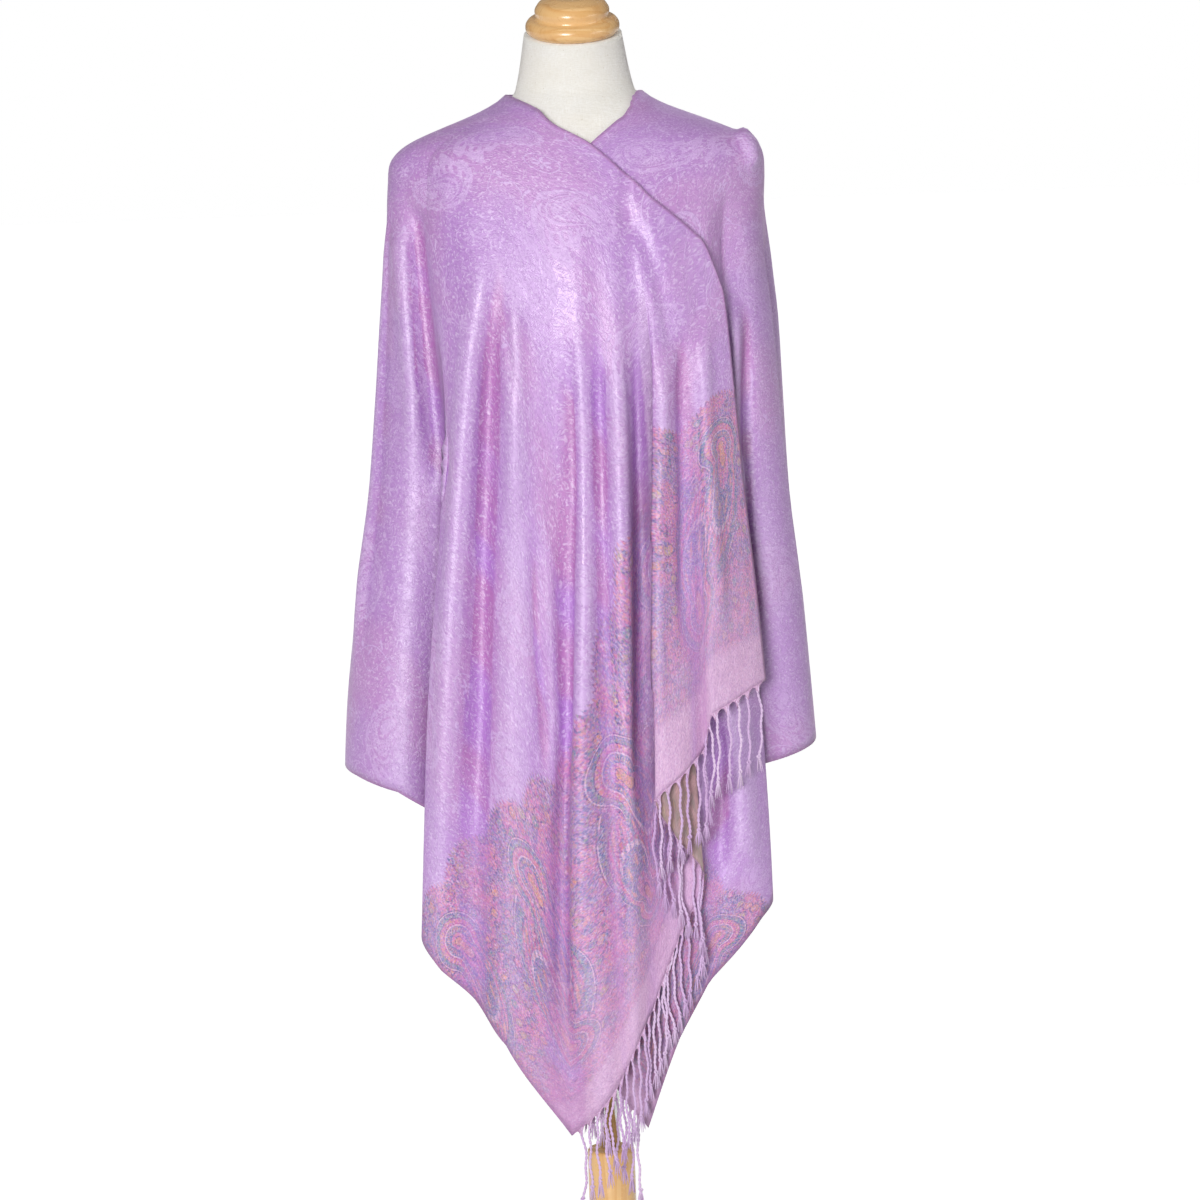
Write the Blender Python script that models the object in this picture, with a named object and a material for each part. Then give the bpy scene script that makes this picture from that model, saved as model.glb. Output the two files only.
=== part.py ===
"""Satin wrap on a dress form.

The wrap is one length of cloth. Its middle lies round the back and both ends cross at the front,
the left end (as seen from the front) over the right one. Metres, +Z up, the front faces -Y.

The cloth is drawn level by level. LEVELS gives the outline at each height and STATIONS gives each
fold, from the over end's inner edge round the back to the under end's inner edge. A station's
angle is measured from the front centre, positive towards -X, and its lift is how far the cloth
stands out from the outline there.
"""
import math
import random

import bmesh
import bpy
from mathutils import Matrix, Vector

# Driving sizes, in metres unless the name says otherwise.
WALL = 0.0012
SEAM = 0.0003
REST = 0.0050
TOP_LEVEL = 1.20
MID_LEVEL = 0.85
LOW_LEVEL = 0.45
FADE = 0.06
SHOULDER_LEVEL = 1.31
SHOULDER_LIFT = 0.008

BASE_RADIUS = 0.170
BASE_HEIGHT = 0.024
COLUMN_TOP = 0.295
COLUMN_RADIUS = 0.0250
COLUMN_FOOT_RADIUS = 0.0320
COLUMN_FOOT_HEIGHT = 0.018
COLUMN_FOOT_CURVE = 0.027
COLUMN_SIDES = 32
POLE_RADIUS = 0.0105
POLE_SIDES = 24
EDGE_ROUND = 0.003
TORSO_BOTTOM = 0.765
NECK_START = 1.420
NECK_TOP = 1.463
NECK_SLANT = math.radians(16)
CAP_RADIUS = 0.0480
ROUND_SIDES = 36

STRAND_PITCH = 0.0138
STRAND_SIZE = 0.0024
STRAND_DROP = 0.088
STRAND_UNEVEN = 0.07
STRAND_SWAY = 0.0020
STRAND_DEPTH_SWAY = 0.0005
STRIP_GAP = 0.0009
STRIP_HEIGHT = 0.0030
STRIP_WALL = 0.0016
STRIP_END = 0.001
STRIP_STEP = 0.001
STRIP_REACH = 0.003
STRIP_TURN = math.radians(25)
STRAND_TURN = math.radians(40)

# Spacing of the cloth's rows and columns. Rows lie closer where it turns over the shoulder, and
# a stretch beside a sharp fold has at least SHARP_CELLS columns.
ROWS = 17
COLUMN_STEP = 0.020
SHARP_CELLS = 3
LEAST_CELLS = 2
SHOULDER_WAY = 0.150
SHOULDER_BEND = 0.045
SHOULDER_ROWS = 0.085
TABLE_STEP = 0.002

# Outline of the draped wrap at each level.
LEVELS = [
    # height, left,  right,  front, back
    (1.412, 0.0655, 0.0635, 0.053, 0.066),
    (1.403, 0.0690, 0.0670, 0.056, 0.069),
    (1.396, 0.0780, 0.0765, 0.061, 0.074),
    (1.388, 0.0930, 0.0920, 0.066, 0.080),
    (1.380, 0.1120, 0.1120, 0.072, 0.086),
    (1.370, 0.1390, 0.1380, 0.078, 0.092),
    (1.360, 0.1640, 0.1620, 0.084, 0.097),
    (1.350, 0.1810, 0.1800, 0.089, 0.101),
    (1.338, 0.1910, 0.1890, 0.094, 0.105),
    (1.318, 0.1940, 0.1910, 0.102, 0.109),
    (1.280, 0.1970, 0.1890, 0.113, 0.114),
    (1.230, 0.2010, 0.1910, 0.124, 0.118),
    (1.170, 0.2060, 0.1970, 0.130, 0.120),
    (1.100, 0.2120, 0.2010, 0.131, 0.120),
    (1.000, 0.2230, 0.2070, 0.130, 0.119),
    (0.900, 0.2400, 0.2160, 0.129, 0.119),
    (0.800, 0.2550, 0.2230, 0.128, 0.120),
    (0.700, 0.2630, 0.2290, 0.127, 0.122),
    (0.550, 0.2700, 0.2350, 0.126, 0.122),
    (0.300, 0.2760, 0.2400, 0.124, 0.122),
]

# Folds in order along the cloth: angles in degrees and lifts in millimetres at the three levels,
# and the heights where the cloth starts and ends.
STATIONS = [
    # name,            angle: top  mid    low     lift: top mid low   starts  ends
    ("over_selvage",      (-45.0, -47.9, -50.0), (8, 14, 16), 1.200, 0.805),
    ("over_flat",         (-42.5, -42.0, -43.0), (8, 17, 19), 1.228, 0.798),
    ("step_edge",         (-39.0, -30.5, -28.0), (8, 18, 20), 1.253, 0.776),
    ("step_valley",       (-36.0, -29.0, -27.5), (8, 11, 11), 1.261, 0.742),
    ("inner_ridge",       (-32.0, -22.5, -20.5), (8, 18, 20), 1.272, 0.716),
    ("pleat_upper",       (-26.0, -18.0, -16.0), (10, 19, 20), 1.287, 0.703),
    ("front_fold",        (-22.0, -15.5, -13.2), (11, 16, 16), 1.297, 0.690),
    ("pleat_middle",      (-19.5, -19.0, -19.5), (10, 11, 11), 1.305, 0.650),
    ("back_fold",         (-17.5, -24.0, -26.5), (9, 5, 5), 1.312, 0.607),
    ("pleat_lower",       (-15.5, -19.0, -19.0), (7, 0, 0), 1.318, 0.548),
    ("under_fold",        (-13.0, -13.0, -11.5), (7, 3, 3), 1.325, 0.473),
    ("right_ridge",       (-10.0, -8.5, -7.0), (9, 14, 13), 1.335, 0.436),
    ("short_valley",      (-4.4, -3.0, -3.5), (9, 6, 11), 1.352, 0.408),
    ("middle_ridge",      (1.0, 2.6, 2.0), (10, 15, 17), 1.362, 0.375),
    ("tip",               (8.0, 7.8, 8.0), (9, 4, 5), 1.371, 0.345),
    ("left_bulge",        (19.0, 18.0, 21.5), (10, 15, 15), 1.382, 0.443),
    ("left_valley",       (25.0, 27.0, 29.5), (10, 4, 3), 1.388, 0.487),
    ("left_ridge",        (33.0, 35.0, 37.5), (13, 16, 16), 1.391, 0.521),
    ("panel_edge",        (41.0, 40.0, 43.5), (8, 11, 11), 1.394, 0.556),
    ("side_middle",       (45.5, 36.0, 36.0), (5, 4, 3), 1.396, 0.588),
    ("side_fold",         (49.5, 30.0, 28.0), (2, -5, -5), 1.397, 0.620),
    ("side_lower",        (53.0, 37.0, 38.0), (-2, -14, -14), 1.398, 0.650),
    ("side_valley",       (56.5, 43.0, 45.0), (-5, -14, -14), 1.398, 0.676),
    ("sleeve_front",      (63.0, 51.5, 54.0), (0, 4, 4), 1.399, 0.700),
    ("sleeve_bulge",      (75.0, 68.0, 70.0), (1, 7, 7), 1.401, 0.713),
    ("left_side",         (90.0, 90.0, 90.0), (0, 0, 0), 1.403, 0.722),
    ("back_wave_1",       (105.0, 104.0, 104.0), (0, -6, -8), 1.405, 0.726),
    ("back_wave_2",       (120.0, 121.0, 122.0), (1, 6, 9), 1.408, 0.724),
    ("back_wave_3",       (136.0, 137.0, 138.0), (0, -7, -11), 1.410, 0.721),
    ("back_wave_4",       (151.0, 152.0, 153.0), (1, 4, 7), 1.411, 0.719),
    ("back_wave_5",       (166.0, 167.0, 167.0), (0, -5, -8), 1.412, 0.717),
    ("back_wave_6",       (182.0, 183.0, 184.0), (1, 7, 11), 1.412, 0.717),
    ("back_wave_7",       (197.0, 198.0, 199.0), (0, -4, -7), 1.412, 0.719),
    ("back_wave_8",       (212.0, 213.0, 214.0), (1, 6, 8), 1.411, 0.722),
    ("back_wave_9",       (226.0, 227.0, 228.0), (0, -7, -10), 1.410, 0.726),
    ("back_wave_10",      (241.0, 241.0, 242.0), (1, 4, 8), 1.408, 0.729),
    ("back_wave_11",      (256.0, 256.0, 256.0), (0, -5, -7), 1.406, 0.732),
    ("right_side",        (270.0, 270.0, 270.0), (0, 0, 0), 1.405, 0.735),
    ("right_bulge",       (284.0, 285.0, 285.0), (1, 3, 3), 1.404, 0.727),
    ("right_sleeve",      (296.0, 299.0, 299.0), (0, -3, -3), 1.402, 0.719),
    ("right_valley",      (304.0, 309.5, 309.5), (-6, -15, -16), 1.399, 0.712),
    ("right_lower",       (308.0, 317.0, 318.0), (-9, -18, -19), 1.398, 0.695),
    ("right_fold",        (311.0, 324.0, 327.0), (-6, -14, -14), 1.396, 0.660),
    ("right_middle",      (314.0, 318.0, 318.0), (-3, -10, -10), 1.394, 0.620),
    ("right_edge",        (318.0, 311.0, 311.5), (0, -5, -5), 1.392, 0.576),
    ("under_flat",        (323.0, 317.0, 317.5), (0, 0, 0), 1.388, 0.555),
    ("under_ridge",       (329.0, 323.0, 324.0), (0, -2, -1), 1.384, 0.530),
    ("under_valley",      (336.0, 331.0, 333.0), (0, -7, -9), 1.378, 0.495),
    ("under_low",         (343.0, 338.0, 341.0), (0, -8, -7), 1.372, 0.440),
    ("under_tip",         (351.0, 347.0, 348.8), (-1, -10, -8), 1.361, 0.347),
    ("under_hidden_1",    (357.0, 355.0, 356.0), (-1, -11, -11), 1.348, 0.380),
    ("under_hidden_2",    (364.0, 363.0, 363.0), (-1, -10, -10), 1.328, 0.424),
    ("under_hidden_3",    (374.0, 373.0, 372.0), (-1, -13, -13), 1.299, 0.500),
    ("under_hidden_4",    (386.0, 385.0, 384.0), (-2, -18, -18), 1.268, 0.620),
    ("under_selvage",     (398.0, 398.0, 398.0), (-2, -21, -21), 1.205, 0.760),
]

# Stations at a fold's turn, where the columns lie closer.
SHARP = ("front_fold", "back_fold", "panel_edge", "side_fold", "right_edge", "right_fold")

# Stretches of the wrap that show: name, first station, last station.
STRETCHES = [
    ("wrap_over_front", "over_selvage", "side_lower"),
    ("wrap_over_side", "side_lower", "back_wave_1"),
    ("wrap_back", "back_wave_1", "back_wave_11"),
    ("wrap_under_side", "back_wave_11", "right_lower"),
    ("wrap_under_front", "right_lower", "under_selvage"),
]
FRINGES = [
    ("fringe_over", "over_selvage", "tip"),
    ("fringe_under", "under_selvage", "under_tip"),
]

# Levels of the wrap that the form's shoulders follow, REST inside them.
SHOULDER_LEVELS = LEVELS[:9]

# Half sizes of the dress form below its shoulders, and of its neck.
TORSO = [
    # height, half,  front, back
    (1.318, 0.1840, 0.092, 0.103),
    (1.280, 0.1800, 0.103, 0.108),
    (1.230, 0.1720, 0.113, 0.111),
    (1.170, 0.1600, 0.118, 0.110),
    (1.100, 0.1440, 0.112, 0.101),
    (1.040, 0.1270, 0.096, 0.088),
    (0.985, 0.1180, 0.086, 0.080),
    (0.930, 0.1280, 0.088, 0.088),
    (0.870, 0.1450, 0.093, 0.100),
    (0.815, 0.1520, 0.096, 0.105),
    (0.780, 0.1500, 0.095, 0.103),
    (TORSO_BOTTOM, 0.1380, 0.084, 0.090),
]
NECK = [
    # height, half,  front, back
    (1.430, 0.0555, 0.047, 0.057),
    (1.448, 0.0525, 0.046, 0.054),
    (NECK_TOP, 0.0500, 0.046, 0.052),
]
STRAND_PROFILE = [
    # share of the length, width share, sway share
    (0.10, 1.00, 0.2), (0.50, 0.95, 1.0), (0.79, 0.90, -0.3), (0.83, 1.60, -0.4),
    (0.88, 0.90, -0.3), (1.08, 1.35, 0.4),
]
CAP_PROFILE = [
    # radius share, height above the neck
    (0.90, 0.0003), (0.98, 0.0035), (1.00, 0.0080), (0.98, 0.0125), (0.90, 0.0160),
    (0.80, 0.0175), (0.79, 0.0210), (0.80, 0.0250), (0.74, 0.0310), (0.55, 0.0360),
    (0.30, 0.0385),
]


def clear_scene():
    for existing in list(bpy.data.objects):
        bpy.data.objects.remove(existing, do_unlink=True)


def make_material(name, color, roughness, metallic=0.0):
    material = bpy.data.materials.new(name)
    material.use_nodes = True
    shader = material.node_tree.nodes["Principled BSDF"]
    shader.inputs["Base Color"].default_value = (*color, 1.0)
    shader.inputs["Roughness"].default_value = roughness
    shader.inputs["Metallic"].default_value = metallic
    material.diffuse_color = (*color, 1.0)
    return material


def add_object(name, mesh_builder, material):
    """Turn a bmesh into a named object with normals facing out."""
    bmesh.ops.recalc_face_normals(mesh_builder, faces=mesh_builder.faces[:])
    mesh = bpy.data.meshes.new(name)
    mesh_builder.to_mesh(mesh)
    mesh_builder.free()
    mesh.materials.append(material)
    new_object = bpy.data.objects.new(name, mesh)
    bpy.context.scene.collection.objects.link(new_object)
    return new_object


def spline(values, knots, at):
    """Smooth curve through the values, with its slopes taken from each value's neighbours."""
    last = len(knots) - 1
    at = min(max(at, knots[0]), knots[last])
    index = 0
    while index < last - 1 and at > knots[index + 1]:
        index += 1

    def slope(place):
        before, after = max(place - 1, 0), min(place + 1, last)
        return (values[after] - values[before]) / (knots[after] - knots[before])

    span = knots[index + 1] - knots[index]
    part = (at - knots[index]) / span
    return ((2 * part ** 3 - 3 * part ** 2 + 1) * values[index]
            + (part ** 3 - 2 * part ** 2 + part) * span * slope(index)
            + (3 * part ** 2 - 2 * part ** 3) * values[index + 1]
            + (part ** 3 - part ** 2) * span * slope(index + 1))


LEVEL_HEIGHTS = [-row[0] for row in LEVELS]


def outline_at(height):
    """Left, right, front and back of the draped wrap at a height."""
    return [spline([row[side] for row in LEVELS], LEVEL_HEIGHTS, -height) for side in range(1, 5)]


def outline_point(sizes, angle, height, lift=0.0):
    """Point on an egg-shaped outline, moved outward by lift."""
    left, right, front, back = sizes
    turn = math.radians(angle)
    half = left if math.sin(turn) > 0 else right
    deep = front if math.cos(turn) > 0 else back
    outward = Vector((-math.sin(turn) / half, -math.cos(turn) / deep, 0)).normalized()
    point = Vector((-half * math.sin(turn), -deep * math.cos(turn), height))
    return point + outward * lift


def by_level(three_values, height):
    """Value at a height from those at the top, middle and low levels, constant above the top."""
    below = max(0.0, TOP_LEVEL + FADE - height)
    drop = below * below / (below + FADE)
    middle, low = TOP_LEVEL - MID_LEVEL, TOP_LEVEL - LOW_LEVEL
    top_value, mid_value, low_value = three_values
    share_mid = drop * (low - drop) / (middle * (low - middle))
    share_low = drop * (drop - middle) / (low * (low - middle))
    return top_value + (mid_value - top_value) * share_mid + (low_value - top_value) * share_low


def station_places():
    """Distance along the cloth to each station, measured across the folds low down."""
    places, previous = [0.0], None
    for name, angles, lifts, starts, ends in STATIONS:
        point = outline_point(outline_at(MID_LEVEL), angles[1], MID_LEVEL, lifts[1] / 1000)
        if previous is not None:
            places.append(places[-1] + (point - previous).length)
        previous = point
    return places


PLACES = station_places()
NAMES = [row[0] for row in STATIONS]


def cloth_point(place, height):
    """Middle of the cloth at a distance along it and a height."""
    angles = [by_level(row[1], height) for row in STATIONS]
    lifts = [by_level(row[2], height) / 1000 for row in STATIONS]
    angle = spline(angles, PLACES, place)
    lift = spline(lifts, PLACES, place)
    over_shoulder = min(max(lift, 0.0), SHOULDER_LIFT)
    settled = min(max((SHOULDER_LEVEL - height) / FADE, 0.0), 1.0)
    lift = over_shoulder + (lift - over_shoulder) * settled
    return outline_point(outline_at(height), angle, height, lift)


def interpolate(xs, ys, at):
    for index in range(len(xs) - 1):
        if at <= xs[index + 1]:
            break
    part = (at - xs[index]) / (xs[index + 1] - xs[index])
    return ys[index] * (1 - part) + ys[index + 1] * part


def row_table():
    """Levels and the row measure at each: the way down the side, drawn out at the shoulder."""
    heights = [LEVELS[0][0]]
    while heights[-1] > LEVELS[-1][0]:
        heights.append(heights[-1] - TABLE_STEP)
    measures, way = [0.0], 0.0
    for upper, lower in zip(heights, heights[1:]):
        way += math.hypot(upper - lower, outline_at(upper)[0] - outline_at(lower)[0])
        measures.append(way + SHOULDER_ROWS * math.tanh((way - SHOULDER_WAY) / SHOULDER_BEND))
    measures[0] = SHOULDER_ROWS * math.tanh(-SHOULDER_WAY / SHOULDER_BEND)
    return [-height for height in heights], measures


ROW_HEIGHTS, ROW_MEASURES = row_table()
START_HEIGHTS = [row[3] for row in STATIONS]
END_HEIGHTS = [row[4] for row in STATIONS]


def column_points(place, rows):
    """One column of the cloth, from its upper edge to its lower edge."""
    upper = interpolate(PLACES, START_HEIGHTS, place)
    lower = interpolate(PLACES, END_HEIGHTS, place)
    start = interpolate(ROW_HEIGHTS, ROW_MEASURES, -upper)
    end = interpolate(ROW_HEIGHTS, ROW_MEASURES, -lower)
    points = []
    for row in range(rows + 1):
        measure = start + (end - start) * row / rows
        points.append(cloth_point(place, -interpolate(ROW_MEASURES, ROW_HEIGHTS, measure)))
    return points


def column_places():
    """Columns across the whole cloth, closer together round the sharp folds."""
    places, seams = [0.0], {NAMES[0]: 0}
    for index, (start, end) in enumerate(zip(PLACES, PLACES[1:])):
        sharp = NAMES[index] in SHARP or NAMES[index + 1] in SHARP
        least = SHARP_CELLS if sharp else LEAST_CELLS
        count = max(least, round((end - start) / COLUMN_STEP))
        places += [start + (end - start) * (k + 1) / count for k in range(count)]
        seams[NAMES[index + 1]] = len(places) - 1
    return places, seams


def grid_normals(grid):
    columns, rows = len(grid), len(grid[0])
    normals = []
    for i in range(columns):
        normals.append([])
        for j in range(rows):
            along = grid[min(i + 1, columns - 1)][j] - grid[max(i - 1, 0)][j]
            down = grid[i][min(j + 1, rows - 1)] - grid[i][max(j - 1, 0)]
            normals[i].append(along.cross(down).normalized())
    return normals


def wall_solid(grid, normals):
    """Closed wall of even thickness on both sides of a grid of points."""
    builder = bmesh.new()
    columns, rows = len(grid), len(grid[0])
    sides = []
    for half in (WALL / 2, -WALL / 2):
        sides.append([[builder.verts.new(grid[i][j] + normals[i][j] * half)
                       for j in range(rows)] for i in range(columns)])
    for side in sides:
        for i in range(columns - 1):
            for j in range(rows - 1):
                builder.faces.new((side[i][j], side[i + 1][j], side[i + 1][j + 1], side[i][j + 1]))
    rim = [(i, 0) for i in range(columns)] + [(columns - 1, j) for j in range(1, rows)]
    rim += [(i, rows - 1) for i in range(columns - 2, -1, -1)]
    rim += [(0, j) for j in range(rows - 2, 0, -1)]
    for (i, j), (k, m) in zip(rim, rim[1:] + rim[:1]):
        builder.faces.new((sides[0][i][j], sides[0][k][m], sides[1][k][m], sides[1][i][j]))
    return builder


def pull_edge(grid, edge, neighbour):
    """Move an edge column back from its seam."""
    for j, point in enumerate(grid[edge]):
        towards = (grid[neighbour][j] - point).normalized()
        grid[edge][j] = point + towards * SEAM


def build_wrap(satin, fringe):
    places, seams = column_places()
    whole = [column_points(place, ROWS) for place in places]
    normals = grid_normals(whole)
    for name, first_name, last_name in FRINGES:
        build_fringe(name, *edge_path(whole, seams[first_name], seams[last_name]), fringe)
    for name, first_name, last_name in STRETCHES:
        first, last = seams[first_name], seams[last_name]
        grid = [list(column) for column in whole[first:last + 1]]
        if first > 0:
            pull_edge(grid, 0, 1)
        if last < len(places) - 1:
            pull_edge(grid, -1, -2)
        add_object(name, wall_solid(grid, normals[first:last + 1]), satin)


def edge_path(whole, first, last):
    """Ends of the columns from one station to another, with the lengths to them."""
    step = 1 if last > first else -1
    path = [whole[k][-1] for k in range(first, last + step, step)]
    lengths = [0.0]
    for before, after in zip(path, path[1:]):
        lengths.append(lengths[-1] + (after - before).length)
    return path, lengths


def point_along(path, lengths, at):
    for index in range(len(path) - 1):
        if at <= lengths[index + 1]:
            break
    part = (at - lengths[index]) / (lengths[index + 1] - lengths[index])
    return path[index].lerp(path[index + 1], part)


def edge_frame(path, lengths, at):
    """Point on the edge, the way out of the cloth's face and the way off its edge."""
    along = point_along(path, lengths, min(at + STRIP_REACH, lengths[-1]))
    along = (along - point_along(path, lengths, max(at - STRIP_REACH, 0.0))).normalized()
    outward = Vector((along.y, -along.x, 0)).normalized()
    off = along.cross(outward).normalized()
    if off.z > 0:
        off = -off
    return point_along(path, lengths, at), outward, off


def strip_cuts(path, lengths):
    """Where the strip is cut across, and which of its cells carry a strand."""
    total = lengths[-1]
    count = int((total - STRAND_PITCH / 2) / STRAND_PITCH)
    margin = (total - (count - 1) * STRAND_PITCH) / 2
    middles = [margin + k * STRAND_PITCH for k in range(count)]
    sharp = []
    for at in middles:
        before = edge_frame(path, lengths, max(at - STRIP_REACH, 0.0))[1]
        after = edge_frame(path, lengths, min(at + STRIP_REACH, total))[1]
        sharp.append(before.angle(after) > STRAND_TURN)
    cuts, is_strand = [STRIP_END], []
    for at, skipped in zip(middles + [total], sharp + [True]):
        goal = total - STRIP_END if at == total else at - STRAND_SIZE / 2
        place, last_way = cuts[-1], edge_frame(path, lengths, cuts[-1])[1]
        while place < goal - 2 * STRIP_STEP:
            place += STRIP_STEP
            way = edge_frame(path, lengths, place)[1]
            if way.angle(last_way) > STRIP_TURN:
                cuts.append(place)
                is_strand.append(False)
                last_way = way
        cuts.append(goal)
        is_strand.append(False)
        if not skipped:
            cuts.append(at + STRAND_SIZE / 2)
            is_strand.append(True)
    return cuts, is_strand


def build_fringe(name, path, lengths, material):
    """A narrow strip just below the cloth's end, with its strands drawn down out of it."""
    rng = random.Random(name)
    cuts, is_strand = strip_cuts(path, lengths)
    builder = bmesh.new()
    rings = []
    for at in cuts:
        point, outward, off = edge_frame(path, lengths, at)
        side = outward * STRIP_WALL / 2
        top, low = point + off * STRIP_GAP, point + off * (STRIP_GAP + STRIP_HEIGHT)
        rings.append([builder.verts.new(corner)
                      for corner in (top - side, top + side, low + side, low - side)])
    builder.faces.new(rings[0])
    builder.faces.new(rings[-1])
    for index, (ring, following) in enumerate(zip(rings, rings[1:])):
        for k in range(4):
            face = (ring[k], ring[(k + 1) % 4], following[(k + 1) % 4], following[k])
            if k == 2 and is_strand[index]:
                add_strand(builder, face, rng)
            else:
                builder.faces.new(face)
    add_object(name, builder, material)


def add_strand(builder, root, rng):
    """Draw a strand with a knot and a tuft down from the root's four corners."""
    centre = sum((vertex.co for vertex in root), Vector()) / 4
    along = root[1].co - root[2].co
    along.z = 0
    along = along.normalized() * STRAND_SIZE / 2
    across = Vector((-along.y, along.x, 0))
    if across.dot(root[1].co - root[0].co) < 0:
        across = -across
    corners = [along - across, along + across, across - along, -along - across]
    length = STRAND_DROP * rng.uniform(1 - STRAND_UNEVEN, 1 + STRAND_UNEVEN)
    sway = Vector((rng.uniform(-STRAND_SWAY, STRAND_SWAY),
                   rng.uniform(-STRAND_DEPTH_SWAY, STRAND_DEPTH_SWAY), 0))
    ring = list(root)
    for share, width, lean in STRAND_PROFILE:
        middle = Vector((centre.x, centre.y, centre.z - length * share)) + sway * lean
        following = [builder.verts.new(middle + corner * width) for corner in corners]
        for k in range(4):
            builder.faces.new((ring[k], ring[(k + 1) % 4], following[(k + 1) % 4], following[k]))
        ring = following
    builder.faces.new(ring)


def build_torso(material):
    """Closed smooth body of the dress form, with its neck cut at a slant."""
    rows = list(reversed(TORSO))
    for height, left, right, front, back in reversed(SHOULDER_LEVELS):
        half = (left + right) / 2 - REST
        rows.append((height, half, front - REST, back - REST))
    rows += NECK
    builder = bmesh.new()
    rings = []
    for height, half, front, back in rows:
        ring = []
        share = (height - NECK_START) / (NECK_TOP - NECK_START)
        slant = math.tan(NECK_SLANT) * min(max(share, 0.0), 1.0)
        for side in range(ROUND_SIDES):
            point = outline_point((half, half, front, back), 360 * side / ROUND_SIDES, height)
            point.z += slant * point.y
            ring.append(builder.verts.new(point))
        rings.append(ring)
    for ring, following in zip(rings, rings[1:]):
        for k in range(ROUND_SIDES):
            after = (k + 1) % ROUND_SIDES
            builder.faces.new((ring[k], ring[after], following[after], following[k]))
    builder.faces.new(rings[0])
    builder.faces.new(rings[-1])
    add_object("form_torso", builder, material)


def turned_solid(name, profile, material, sides=ROUND_SIDES, placing=None):
    """Solid turned about the vertical from (radius, height) pairs."""
    builder = bmesh.new()
    rings = []
    for radius, height in profile:
        rings.append([builder.verts.new((radius * math.cos(math.tau * k / sides),
                                         radius * math.sin(math.tau * k / sides), height))
                      for k in range(sides)])
    for ring, following in zip(rings, rings[1:]):
        for k in range(sides):
            after = (k + 1) % sides
            builder.faces.new((ring[k], ring[after], following[after], following[k]))
    builder.faces.new(rings[0])
    builder.faces.new(rings[-1])
    if placing is not None:
        bmesh.ops.transform(builder, matrix=placing, verts=builder.verts[:])
    return add_object(name, builder, material)


def build_stand(wood, chrome):
    turned_solid("stand_base", [
        (BASE_RADIUS - EDGE_ROUND, 0.0), (BASE_RADIUS, EDGE_ROUND),
        (BASE_RADIUS, BASE_HEIGHT - 3 * EDGE_ROUND),
        (BASE_RADIUS - 2 * EDGE_ROUND, BASE_HEIGHT - EDGE_ROUND / 2),
        (BASE_RADIUS - 4 * EDGE_ROUND, BASE_HEIGHT)], wood)
    foot_top = BASE_HEIGHT + COLUMN_FOOT_HEIGHT
    turned_solid("stand_column", [
        (COLUMN_FOOT_RADIUS, BASE_HEIGHT + SEAM), (COLUMN_FOOT_RADIUS, foot_top),
        (COLUMN_RADIUS, foot_top + COLUMN_FOOT_CURVE), (COLUMN_RADIUS, COLUMN_TOP - EDGE_ROUND),
        (COLUMN_RADIUS - EDGE_ROUND, COLUMN_TOP)], wood, COLUMN_SIDES)
    turned_solid("stand_pole", [
        (POLE_RADIUS, COLUMN_TOP + SEAM), (POLE_RADIUS, TORSO_BOTTOM - SEAM)], chrome, POLE_SIDES)
    placing = Matrix.Translation((0, 0, NECK_TOP)) @ Matrix.Rotation(NECK_SLANT, 4, "X")
    turned_solid("neck_cap", [(CAP_RADIUS * share, height) for share, height in CAP_PROFILE],
                 wood, placing=placing)


def main():
    clear_scene()
    satin = make_material("lilac_satin", (0.50, 0.30, 0.66), 0.42)
    fringe = make_material("lilac_fringe", (0.46, 0.25, 0.60), 0.55)
    linen = make_material("linen", (0.82, 0.78, 0.70), 0.85)
    wood = make_material("lacquered_wood", (0.72, 0.45, 0.22), 0.30)
    chrome = make_material("chrome", (0.80, 0.80, 0.80), 0.15, 1.0)
    build_torso(linen)
    build_stand(wood, chrome)
    build_wrap(satin, fringe)


main()
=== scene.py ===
import math
import random
import bmesh
import bpy
import numpy as np
from mathutils import Matrix, Vector
from mathutils.kdtree import KDTree


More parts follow.
